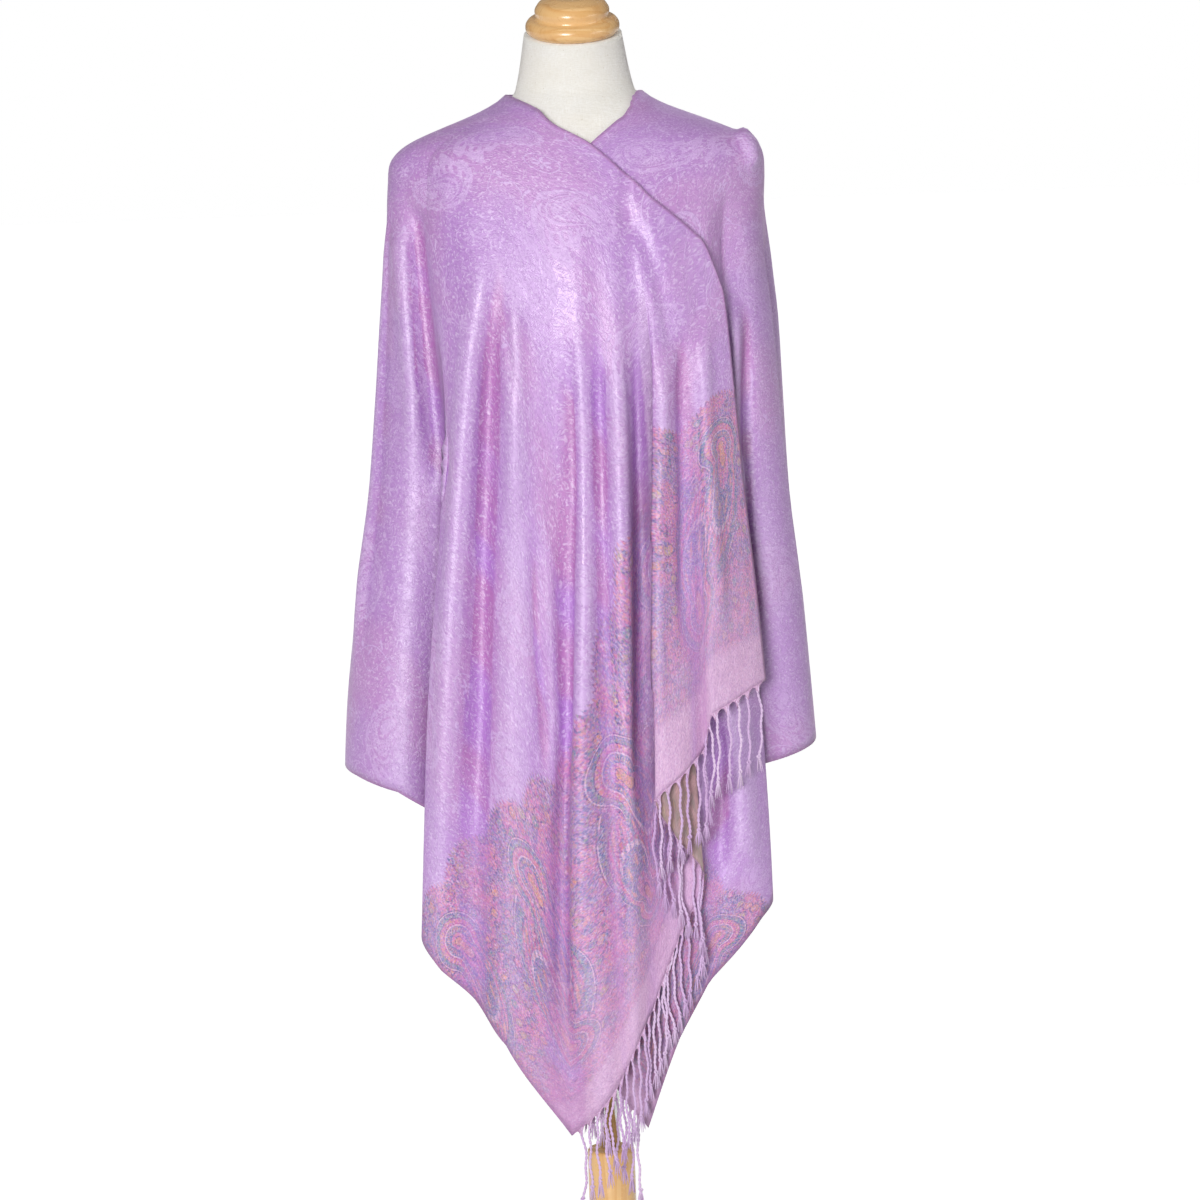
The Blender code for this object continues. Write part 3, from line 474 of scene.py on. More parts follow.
def buildCloth():
    flat, length, cutPlaces = flattenCloth()
    across, down = drape["columns"], drape["rows"]
    places = columnPlaces(across)
    points = addCreases(places, clothPoints(places, columnHeights(places, down)))
    flatCut = resample(flat, cutPlaces, places, down).reshape(-1, 2)
    flatPoints = points.reshape(-1, 3)
    edges, relief = selvageWays(places, points), foldRelief(points).ravel()
    shade = foldShade(places, points).ravel()
    builder = bmesh.new()
    # The fold map carries each point's fold depth and the painted shadow, for the satin's painted shading.
    cutMap, edgeMap, foldMap = (builder.loops.layers.uv.new(name) for name in ("cut", "edge", "fold"))
    bmesh.ops.create_grid(builder, x_segments=across - 1, y_segments=down - 1, size=1.0)
    for vert in builder.verts:
        column = round((vert.co.x + 1) / 2 * (across - 1))
        vert.index = column * down + round((1 - vert.co.y) / 2 * (down - 1))
    for face in builder.faces:
        for loop in face.loops:
            at = loop.vert.index
            loop[cutMap].uv = flatCut[at]
            loop[edgeMap].uv = (edges[at], 0)
            loop[foldMap].uv = (relief[at], shade[at])
    for vert in builder.verts:
        vert.co = flatPoints[vert.index]
    bmesh.ops.reverse_faces(builder, faces=builder.faces[:])
    cloth = newPiece("wrap_cloth", builder, [])
    shell = cloth.modifiers.new("thickness", "SOLIDIFY")
    shell.thickness = drape["thickness"]
    shell.offset = 0.0
    shell.use_rim = True
    shell.material_offset = 1   # the reverse has its own finish, and the rim the front's
    shell.material_offset_rim = 0
    return cloth, length, (places, points)


# Twisted strands at both ends, in metres, with shares of the strand's length.
fringe = {"pitch": 0.0138, "length": 0.088, "uneven": 0.07, "yarn": 0.00095, "twist": 0.0105,
          "yarnSides": 5, "step": 0.0019, "knotStep": 0.0011,
          "knot": 0.0023, "knotShare": 0.83, "knotReach": 0.0020, "knotPast": 0.003,
          "sway": 0.0055, "swayDeep": 0.0005, "kink": 0.0008, "kinkTurns": 190,
          "rootWidth": 0.0034, "gather": 0.010,
          "hairs": 9, "tuft": 0.017, "tuftSpread": (0.0012, 0.0042), "tuftUneven": (0.75, 1.1),
          "tuftFlat": 0.6, "hairRadii": (0.00052, 0.00052, 0.00046, 0.00040, 0.00022), "hairSides": 4,
          "webDeep": 0.010, "webTop": 0.0010, "webThick": 0.0009, "webSteps": 10,
          "alongReach": 0.003}


def edgeSpot(path, lengths, at):
    return Vector([np.interp(at, lengths, path[:, k]) for k in range(3)])


def yarnTube(builder, line, radii, sides):
    # One small ring, drawn out from place to place along the line.
    ring = bmesh.ops.create_circle(builder, cap_ends=False, segments=sides, radius=1.0)["verts"]
    shape = [vert.co.copy() for vert in ring]
    first = ring
    for k, (place, radius) in enumerate(zip(line, radii)):
        if k > 0:
            following = [builder.verts.new() for vert in ring]
            for n in range(sides):
                after = (n + 1) % sides
                builder.faces.new((ring[n], ring[after], following[after], following[n]))
            ring = following
        for vert, corner in zip(ring, shape):
            vert.co = place + corner * radius
    builder.faces.new(list(reversed(first)))
    builder.faces.new(ring)


def addStrand(builder, root, along, rng):
    length = fringe["length"] * rng.uniform(1 - fringe["uneven"], 1 + fringe["uneven"])
    swayX = rng.uniform(-fringe["sway"], fringe["sway"])
    swayY = rng.uniform(-fringe["swayDeep"], fringe["swayDeep"])
    bow = rng.uniform(0.4, 1.0)
    phase = rng.uniform(0, math.tau)
    knotAt = fringe["knotShare"] * length
    yarn, knotOver = fringe["yarn"], (fringe["knot"] - fringe["yarn"]) * 0.62

    def middle(way):   # the strand's middle line, way down from its root
        curve = math.sin(way / length * math.pi * 1.2) * bow
        kink = fringe["kink"] * math.sin(way * fringe["kinkTurns"] + phase)
        return Vector((root.x + swayX * curve * 1.5 + kink, root.y + swayY * curve, root.z - way))

    for ply in range(2):
        line, radii = [], []
        way = 0.0
        while way < knotAt + fringe["knotPast"]:
            share = min(way / fringe["gather"], 1.0)
            knot = math.exp(-((way - knotAt) / fringe["knotReach"]) ** 2)
            angle = phase + ply * math.pi + way / fringe["twist"] * math.tau
            spin = Vector((math.cos(angle), math.sin(angle), 0)) * (yarn * 0.75 + knotOver * knot)
            apart = along * (fringe["rootWidth"] / 2) * (1 - share) * (1 if ply else -1)
            line.append(middle(way) + spin * (0.3 + 0.7 * share) + apart)
            radii.append(yarn * (0.62 + 0.38 * share + 0.5 * knot))
            way += fringe["knotStep"] if knot > 0.05 else fringe["step"]
        yarnTube(builder, line, radii, fringe["yarnSides"])
    addTuft(builder, middle(knotAt), rng)


def addTuft(builder, end, rng):   # the loose ends under the knot
    radii = fringe["hairRadii"]
    for hair in range(fringe["hairs"]):
        angle = math.tau * hair / fringe["hairs"] + rng.uniform(-0.3, 0.3)
        apart = rng.uniform(*fringe["tuftSpread"])
        reach = fringe["tuft"] * rng.uniform(*fringe["tuftUneven"])
        line = []
        for k in range(len(radii)):
            part = k / (len(radii) - 1)
            line.append(end + Vector((math.cos(angle) * (0.0006 + apart * part ** 0.7),
                                      math.sin(angle) * (0.0006 + fringe["tuftFlat"] * apart * part ** 0.7),
                                      -0.001 - reach * part)))
        yarnTube(builder, line, radii, fringe["hairSides"])


def addWeb(builder, root, along):   # cloth that narrows to a strand, with an arch on either side
    half, yarn = fringe["pitch"] / 2, fringe["yarn"]
    normal = along.cross(Vector((0, 0, -1))).normalized() * fringe["webThick"] / 2
    corners = []
    for k in range(fringe["webSteps"] + 1):
        off = half * (2 * k / fringe["webSteps"] - 1)
        part = min(1.0, (half - abs(off)) / (half - yarn))
        drop = fringe["webDeep"] * (1 - math.sqrt(max(0.0, 1 - part * part)))
        top = root + along * off + Vector((0, 0, fringe["webTop"]))
        foot = root + along * off - Vector((0, 0, drop))
        spots = (top + normal, foot + normal, foot - normal, top - normal)
        corners.append([builder.verts.new(spot) for spot in spots])
    faces = [builder.faces.new(list(reversed(corners[0]))), builder.faces.new(corners[-1])]
    for one, other in zip(corners, corners[1:]):
        for k in range(4):
            after = (k + 1) % 4
            faces.append(builder.faces.new((one[k], one[after], other[after], other[k])))
    for face in faces:
        face.material_index = 1
    bmesh.ops.recalc_face_normals(builder, faces=faces)


def buildFringe(name, node, drapedGrid, firstName, lastName, materials):
    places, points = drapedGrid
    first, last = columnOf(places, firstName), columnOf(places, lastName)
    order = range(first, last + 1) if last > first else range(first, last - 1, -1)
    path = points[list(order), -1]
    lengths = run(np.linalg.norm(np.diff(path, axis=0), axis=1))
    rng = random.Random(node)
    count = int((lengths[-1] - fringe["pitch"] / 2) / fringe["pitch"])
    margin = (lengths[-1] - (count - 1) * fringe["pitch"]) / 2
    reach = fringe["alongReach"]
    builder = bmesh.new()
    for k in range(count):
        at = margin + k * fringe["pitch"]
        root = edgeSpot(path, lengths, at)
        along = edgeSpot(path, lengths, at + reach) - edgeSpot(path, lengths, at - reach)
        along.normalize()
        strand = bmesh.new()
        addStrand(strand, root, along, rng)
        addWeb(strand, root, along)
        spare = bpy.data.meshes.new("strand")
        strand.to_mesh(spare)
        strand.free()
        builder.from_mesh(spare)
        bpy.data.meshes.remove(spare)
    piece = newPiece(name, builder, materials)
    print(name, "has", count, "strands")
    return piece


# The form under the cloth. Its rows are height, half width, depth front and back.
form = {"rest": 0.0050, "bottom": 0.765, "neckFrom": 1.42, "neckTop": 1.463, "slant": math.radians(16),
        "sides": 96, "shoulderRows": 9, "upper": (1.463, 1.30, 40), "lower": (1.295, 0.78, 50),
        "footWide": 0.92, "footDeep": 0.89,
        "body": [(1.318, 0.1840, 0.092, 0.103), (1.280, 0.1800, 0.103, 0.108),
                 (1.230, 0.1720, 0.113, 0.111), (1.170, 0.1600, 0.118, 0.110),
                 (1.100, 0.1440, 0.112, 0.101), (1.040, 0.1270, 0.096, 0.088),
                 (0.985, 0.1180, 0.086, 0.080), (0.930, 0.1280, 0.088, 0.088),
                 (0.870, 0.1450, 0.093, 0.100), (0.815, 0.1520, 0.096, 0.105),
                 (0.780, 0.1500, 0.095, 0.103)],
        "neck": [(1.463, 0.0500, 0.046, 0.052), (1.448, 0.0525, 0.046, 0.054),
                 (1.430, 0.0555, 0.047, 0.057)]}
# Turned outlines: radius and height. The column, the pole and the cap each stand 0.3 mm clear of what
# is below them.
stand = {"disc": [(0, 0), (0.169, 0), (0.170, 0.002), (0.170, 0.015), (0.158, 0.024), (0, 0.024)],
         "column": [(0, 0.0243), (0.032, 0.0243), (0.032, 0.042), (0.025, 0.069), (0.025, 0.295),
                    (0, 0.295)],
         "pole": [(0, 0.2953), (0.0105, 0.2953), (0.0105, 0.7647), (0, 0.7647)],
         "cap": [(0, 0.0003), (0.0432, 0.0003), (0.048, 0.0045), (0.048, 0.0115), (0.04416, 0.0165),
                 (0.0384, 0.0175), (0.03768, 0.0205), (0.0384, 0.0260), (0.0336, 0.0335),
                 (0.0192, 0.0380), (0, 0.0385)],
         "rounding": 0.004, "capRounding": 0.003, "poleSides": 48}


def buildForm(linen):
    rows = list(form["neck"])
    for height, left, right, front, back in outlineRows[:form["shoulderRows"]]:
        rows.append((height, (left + right) / 2 - form["rest"], front - form["rest"], back - form["rest"]))
    table = np.array(rows + form["body"])
    heights = np.concatenate([np.linspace(*form["upper"]), np.linspace(*form["lower"])])
    sizes = hermiteWeights(-table[:, 0], -heights) @ table[:, 1:]
    neckHeight = form["neckTop"] - form["neckFrom"]
    builder = bmesh.new()
    ring = None
    for height, (half, front, back) in zip(heights, sizes):
        circle = bmesh.ops.create_circle(builder, segments=form["sides"], radius=1.0)["verts"]
        lean = math.tan(form["slant"]) * min(max((height - form["neckFrom"]) / neckHeight, 0), 1)
        for vert in circle:
            y = vert.co.y * (front if vert.co.y < 0 else back)
            vert.co = Vector((vert.co.x * half, y, height + lean * y))
        edges = list({edge for vert in circle for edge in vert.link_edges})
        if ring is None:
            bmesh.ops.contextual_create(builder, geom=circle)
        else:
            bmesh.ops.bridge_loops(builder, edges=ring + edges)
        ring = edges
    low = bmesh.ops.extrude_edge_only(builder, edges=ring)["geom"]
    foot = [item for item in low if isinstance(item, bmesh.types.BMVert)]
    for vert in foot:
        vert.co = Vector((vert.co.x * form["footWide"], vert.co.y * form["footDeep"], form["bottom"]))
    bmesh.ops.contextual_create(builder, geom=foot)
    bmesh.ops.recalc_face_normals(builder, faces=builder.faces[:])
    print("dress form made")
    return newPiece("form_body", builder, [linen])


def turnedPiece(name, profile, material, segments=96, placing=None):
    builder = bmesh.new()
    verts = [builder.verts.new((radius, 0, height)) for radius, height in profile]
    edges = [builder.edges.new(pair) for pair in zip(verts, verts[1:])]
    bmesh.ops.spin(builder, geom=verts + edges, cent=(0, 0, 0), axis=(0, 0, 1), dvec=(0, 0, 0),
                   angle=math.tau, steps=segments, use_merge=True, use_duplicate=False)
    bmesh.ops.remove_doubles(builder, verts=builder.verts[:], dist=0.00002)
    bmesh.ops.recalc_face_normals(builder, faces=builder.faces[:])
    if placing is not None:
        bmesh.ops.transform(builder, matrix=placing, verts=builder.verts[:])
    return newPiece(name, builder, [material])


def roundedProfile(corners, radius, segments=5):   # softens the corners of a turned outline
    profile = [corners[0]]
    for before, corner, after in zip(corners, corners[1:], corners[2:]):
        a, b, c = Vector(before), Vector(corner), Vector(after)
        reach = min(radius, (a - b).length * 0.45, (c - b).length * 0.45)
        start, end = b + (a - b).normalized() * reach, b + (c - b).normalized() * reach
        for k in range(segments + 1):
            t = k / segments
            profile.append(tuple(start * (1 - t) ** 2 + b * 2 * t * (1 - t) + end * t * t))
    return profile + [corners[-1]]


def buildStand(wood, capWood, chrome):
    base = turnedPiece("stand_disc", roundedProfile(stand["disc"], stand["rounding"]), wood)
    column = turnedPiece("stand_turning", roundedProfile(stand["column"], stand["rounding"]), wood)
    pole = turnedPiece("stand_tube", stand["pole"], chrome, stand["poleSides"])
    placing = Matrix.Translation((0, 0, form["neckTop"])) @ Matrix.Rotation(form["slant"], 4, "X")
    outline = roundedProfile(stand["cap"], stand["capRounding"])
    cap = turnedPiece("neck_turning", outline, capWood, placing=placing)
    print("stand and cap made")
    return base, column, pole, cap


class Amount:   # a number, place or color that changes over a surface, with plain arithmetic
    def __init__(self, bench, socket):
        self.bench, self.socket = bench, socket

    def __add__(self, other):
        return self.bench.calc("ADD", self, other)

    def __radd__(self, other):
        return self.bench.calc("ADD", other, self)

    def __sub__(self, other):
        return self.bench.calc("SUBTRACT", self, other)

    def __rsub__(self, other):
        return self.bench.calc("SUBTRACT", other, self)

    def __mul__(self, other):
        return self.bench.calc("MULTIPLY", self, other)

    def __rmul__(self, other):
        return self.bench.calc("MULTIPLY", other, self)

    def __truediv__(self, other):
        return self.bench.calc("DIVIDE", self, other)

    def __pow__(self, other):
        return self.bench.calc("POWER", self, other)

    def __mod__(self, other):
        return self.bench.calc("MODULO", self, other)

    def __abs__(self):
        return self.bench.calc("ABSOLUTE", self)

    def floor(self):
        return self.bench.calc("FLOOR", self)

    def fract(self):
        return self.bench.calc("FRACT", self)


class Bench:   # one material and short ways to add nodes to it
    def __init__(self, name):
        self.material = bpy.data.materials.new(name)
        self.material.use_nodes = True
        self.nodes, self.links = self.material.node_tree.nodes, self.material.node_tree.links
        self.nodes.clear()
        self.shader = self.nodes.new("ShaderNodeBsdfPrincipled")
        output = self.nodes.new("ShaderNodeOutputMaterial")
        self.links.new(self.shader.outputs["BSDF"], output.inputs["Surface"])
        self.places = Amount(self, self.nodes.new("ShaderNodeTexCoord").outputs["Object"])

    def feed(self, socket, value):
        if isinstance(value, Amount):
            self.links.new(value.socket, socket)
        elif socket.type == "RGBA":
            socket.default_value = (*value, 1)
        else:
            socket.default_value = value

    def node(self, kind, given, **settings):   # a node with its settings and inputs; gives its first output
        node = self.nodes.new("ShaderNode" + kind)
        for name, setting in settings.items():
            setattr(node, name, setting)
        for socket, value in given.items():
            self.feed(node.inputs[socket], value)
        return Amount(self, node.outputs[0])

    def calc(self, kind, *values):
        return self.node("Math", dict(enumerate(values)), operation=kind)

    def most(self, *values):
        total = values[0]
        for value in values[1:]:
            total = self.calc("MAXIMUM", total, value)
        return total

    def fade(self, value, start, end, low=0.0, high=1.0):   # smooth step from low to high
        return self.node("MapRange", dict(enumerate((value, start, end, low, high))),
                         interpolation_type="SMOOTHSTEP")

    def line(self, value, at, width):   # 1 on a line where value is at, 0 beside it
        return self.fade(abs(value - at), width * 1.3, width * 0.6)

    def wave(self, value, pitch, phase=0.0):   # from -1 to 1
        return self.calc("SINE", value * (math.tau / pitch) + phase)

    def vector(self, x, y, z=0.0):
        return self.node("CombineXYZ", {0: x, 1: y, 2: z})

    def split(self, vector):
        outputs = self.node("SeparateXYZ", {0: vector}).socket.node.outputs
        return [Amount(self, output) for output in outputs]

    def map(self, name):   # one of the cloth's own flat maps
        return self.node("UVMap", {}, uv_map=name)

    def scaled(self, vector, sizes, turn=(0, 0, 0), move=(0, 0, 0)):
        return self.node("Mapping", {"Vector": vector, "Scale": sizes, "Rotation": turn, "Location": move})

    def noise(self, vector, scale, detail=2.0, roughness=0.5, distortion=0.0):
        return self.node("TexNoise", {"Vector": vector, "Scale": scale, "Detail": detail,
                                      "Roughness": roughness, "Distortion": distortion})

    def cells(self, vector, scale):   # way to the middle of the nearest cell, and a tone for that cell
        away = self.node("TexVoronoi", {"Vector": vector, "Scale": scale})
        return away, self.split(Amount(self, away.socket.node.outputs["Color"]))[0]

    def random(self, vector):
        return self.node("TexWhiteNoise", {"Vector": vector}, noise_dimensions="2D")

    def mix(self, share, first, second):
        mixed = self.node("Mix", {0: share}, data_type="RGBA").socket.node
        self.feed(mixed.inputs[6], first)
        self.feed(mixed.inputs[7], second)
        return Amount(self, mixed.outputs[2])

    def ramp(self, value, stops, steps=False):
        shown = self.node("ValToRGB", {0: value})
        colors = shown.socket.node.color_ramp
        colors.interpolation = "CONSTANT" if steps else "LINEAR"
        while len(colors.elements) < len(stops):
            colors.elements.new(1.0)
        for element, (place, color) in zip(colors.elements, stops):
            element.position = place
            element.color = (*color, 1)
        return shown

    def bump(self, height, distance, strength=1.0, under=None):
        raised = self.node("Bump", {"Height": height, "Distance": distance, "Strength": strength})
        if under is not None:
            self.feed(raised.socket.node.inputs["Normal"], under)
        return raised

    def finish(self, **values):   # sets the shader's inputs, named as in the editor
        for name, value in values.items():
            self.feed(self.shader.inputs[name.replace("_", " ")], value)
        return self.material


def paisley(bench, x, y, base, reach, narrow, twist):
    # A bent drop round (0, 0) with its tip towards +y: its size is 1 on the outline.
    away = bench.calc("SQRT", x * x + y * y + 1e-9)
    turn = away * (twist / (base + reach))
    sine, cosine = bench.calc("SINE", turn), bench.calc("COSINE", turn)
    bentX = x * cosine - y * sine
    bentY = x * sine + y * cosine
    facing = bentY / away * 0.5 + 0.5
    edge = base + facing ** narrow * reach
    return away / edge, bench.calc("ARCTAN2", bentX, bentY), bentX, bentY


# The weave's figures, in metres on the flat cloth, with the scales and levels of the fine lines.
weave = {"medallionAlong": 0.098, "medallionRows": 7, "tilt": math.radians(28),
         "drop": 0.0125, "dropReach": 0.0250, "dropMiddle": 0.009, "dropTwist": 1.0, "vineSway": 0.013,
         "leaf": 0.0125, "borderStart": 0.325, "plainEnd": 0.046, "borderDrops": 9, "head": 0.0335,
         "tail": 0.150, "headFar": 0.262, "headNear": 0.112, "selvage": 0.0035,
         "lightLines": (190.0, 4.2), "darkLines": (205.0, 3.8), "knobs": 620.0, "blooms": 70.0}


def fieldFigures(bench, u, v):
    # Paisley medallions in rows, every other one half a step on and turned round, with vines between.
    rowPitch = drape["width"] / weave["medallionRows"]
    rowsUp = v * (1 / rowPitch)
    odd = rowsUp.floor() % 2.0
    across = (rowsUp.fract() - 0.5) * rowPitch
    shifted = u * (1 / weave["medallionAlong"]) + odd * 0.5
    along = (shifted.fract() - 0.5) * weave["medallionAlong"]
    way = 1.0 - odd * 2.0
    along, aside = along * way, across * way
    tiltSine, tiltCosine = math.sin(weave["tilt"]), math.cos(weave["tilt"])
    x = aside * tiltCosine - along * tiltSine
    y = aside * tiltSine + along * tiltCosine + weave["dropMiddle"]
    size, angle, bentX, bentY = paisley(bench, x, y, weave["drop"], weave["dropReach"], 7.0,
                                        weave["dropTwist"])
    scallop = abs(bench.calc("SINE", angle * 6.5))
    crown = size - scallop * 0.22
    body = bench.fade(crown, 1.36, 1.32)
    outlines = [bench.line(size, 1.0, 0.05), bench.line(size, 0.84, 0.04), bench.line(size, 0.42, 0.06)]
    dots = bench.line(size, 1.17, 0.08) * bench.fade(bench.wave(angle, math.tau / 30), -0.1, 0.4)
    inner = bench.fade(size, 0.86, 0.8) * bench.fade(size, 0.44, 0.5)
    hatch = inner * bench.fade(bench.wave(bentX + bentY, 0.003), 0.0, 0.6)
    hatch = hatch * bench.fade(bench.wave(bentX - bentY, 0.0046), -0.2, 0.4)
    dark = bench.most(*outlines, dots, hatch)
    medallion = body * (0.8 - dark * 1.6)
    between = ((rowsUp + 0.5).fract() - 0.5) * rowPitch
    beside = between - bench.wave(u, weave["medallionAlong"]) * weave["vineSway"]
    second = between + bench.wave(u, weave["medallionAlong"] / 2, 1.3) * 0.009
    stems = bench.most(bench.line(beside, 0.0, 0.0006), bench.line(second, 0.0, 0.00045))
    leafWay = u * (1 / weave["leaf"])
    side = (leafWay % 2.0).floor() * 2.0 - 1.0
    leafAlong = (leafWay.fract() - 0.5) * weave["leaf"]
    leafOut = beside * side - 0.005
    lean = leafAlong - leafOut * 0.5
    leafSize = bench.calc("SQRT", abs(lean * (1 / 0.0017)) ** 1.6 + (leafOut * (1 / 0.004)) ** 2.0)
    leaf = bench.fade(leafSize, 1.1, 0.8)
    flowerAlong = ((shifted + 0.5).fract() - 0.5) * weave["medallionAlong"]
    reachOut = bench.calc("SQRT", flowerAlong * flowerAlong + across * across)
    petals = 0.0052 + bench.calc("COSINE", bench.calc("ARCTAN2", flowerAlong, across) * 6.0) * 0.003
    flower = bench.fade(reachOut, petals, petals - 0.0008) * bench.fade(reachOut, 0.001, 0.0018)
    ring = bench.line(reachOut, 0.0115, 0.0005)
    vines = bench.most(stems, leaf, flower, ring)
    return bench.most(medallion, vines * bench.fade(crown, 1.36, 1.48))


def squiggles(bench, flat, scale, levels):   # dense worm-like lines, as level lines of a noise
    field = bench.noise(flat, scale, 1.0, 0.4, 0.6)
    return bench.line((field * levels).fract(), 0.5, 0.17)


borderColors = {"core": (0.70, 0.28, 0.19), "tan": (0.47, 0.35, 0.22), "deep": (0.12, 0.04, 0.22),
                "pink": (0.62, 0.17, 0.42), "rose": (0.50, 0.09, 0.28), "blue": (0.11, 0.14, 0.36),
                "teal": (0.10, 0.24, 0.30), "lilac": (0.44, 0.22, 0.54), "pale": (0.76, 0.50, 0.70)}
borderStops = [(0.0, "core"), (0.13, "deep"), (0.16, "pink"), (0.27, "blue"), (0.50, "pale"),
               (0.54, "rose"), (0.60, "pink"), (0.73, "deep"), (0.76, "teal"), (0.82, "blue"),
               (0.92, "pale"), (0.95, "deep"), (0.99, "lilac")]


def borderFigures(bench, u, v, fromEnd):
    # Long paisleys, heads far from the fringe and near it in turn, with their tails between.
    pitch = drape["width"] / weave["borderDrops"]
    counted = v * (1 / pitch)
    odd = counted.floor() % 2.0
    across = (counted.fract() - 0.5) * pitch
    down = weave["headFar"] - fromEnd
    up = fromEnd - weave["headNear"]
    tipward = down * (1.0 - odd) + up * odd
    mirrored = across * (1.0 - odd * 2.0)
    size, angle, bentX, bentY = paisley(bench, mirrored, tipward, weave["head"], weave["tail"], 26.0, 0.55)
    inside = bench.fade(size, 1.02, 0.98)
    tones = borderColors
    color = bench.ramp(size, [(place, tones[name]) for place, name in borderStops], steps=True)
    ringDots = bench.fade(bench.wave(angle, math.tau / 34), 0.0, 0.5)
    dotted = ringDots * bench.most(bench.line(size, 0.67, 0.04), bench.line(size, 0.4, 0.05))
    color = bench.mix(dotted * 0.9, color, tones["core"])
    hatch = bench.fade(bench.wave(bentX, 0.0062), -0.1, 0.5) * bench.fade(bentY, 0.02, 0.045)
    color = bench.mix(hatch * 0.75, color, tones["blue"])
    flat = bench.vector(u, v)
    blooms, bloomTone = bench.cells(flat, weave["blooms"])
    ground = bench.ramp(bloomTone, [(0.0, tones["pink"]), (0.25, tones["blue"]), (0.42, tones["tan"]),
                                    (0.58, tones["core"]), (0.70, tones["teal"]), (0.84, tones["rose"])],
                        steps=True)
    patches = bench.fade(bench.noise(flat, 24.0, 2.0), 0.46, 0.56)
    plainer = bench.mix(patches, tones["pink"], bench.mix(0.5, tones["blue"], tones["lilac"]))
    outside = bench.mix(bench.fade(blooms, 0.36, 0.30), plainer, ground)
    outside = bench.mix(bench.line(blooms, 0.40, 0.05), outside, tones["deep"])
    outside = bench.mix(bench.fade(blooms, 0.12, 0.08), outside, tones["pale"])
    strokes = bench.fade(bench.wave(across + fromEnd * 0.22, 0.0046), 0.3, 0.8, 0.0, 0.55)
    outside = bench.mix(strokes, outside, tones["lilac"])
    return bench.mix(inside, outside, color)


# The satin's colours. The valley colours are painted shade in the folds, the ridge colour a painted
# highlight, the spark colour painted glints on the weave's light lines, and the shade colour a painted
# shadow beside overlapping folds.
satinLook = {"ground": (0.475, 0.242, 0.605), "figure": (0.64, 0.43, 0.76), "rose": (0.55, 0.25, 0.54),
             "paintedValleyShade": (0.40, 0.155, 0.56), "paintedRoseValleyShade": (0.43, 0.135, 0.42), "paintedRidgeHighlight": (0.60, 0.41, 0.72),
             "paintedGlint": (0.88, 0.76, 0.97), "grain": (0.30, 0.12, 0.42), "shade": (0.17, 0.055, 0.21),
             "endPink": (0.60, 0.33, 0.57), "selvage": (0.46, 0.20, 0.46), "roughness": 0.41, "matt": 0.56}


def flatPlace(bench):   # metres along and across the cut, kept in the cloth's own map
    cut = bench.map("cut")
    u, v = bench.split(cut)[:2]
    return cut, u, v


def borderMask(bench, u, v, length):
    fromEnd = bench.calc("MINIMUM", u, length - u)
    pitch = drape["width"] / weave["borderDrops"]
    arch = abs(bench.wave(v, pitch * 2)) * 0.012
    teeth = bench.wave(v, 0.0045) * 0.0022
    start = weave["borderStart"] + arch + teeth - 0.012
    return fromEnd, bench.fade(fromEnd, start, start - 0.003)


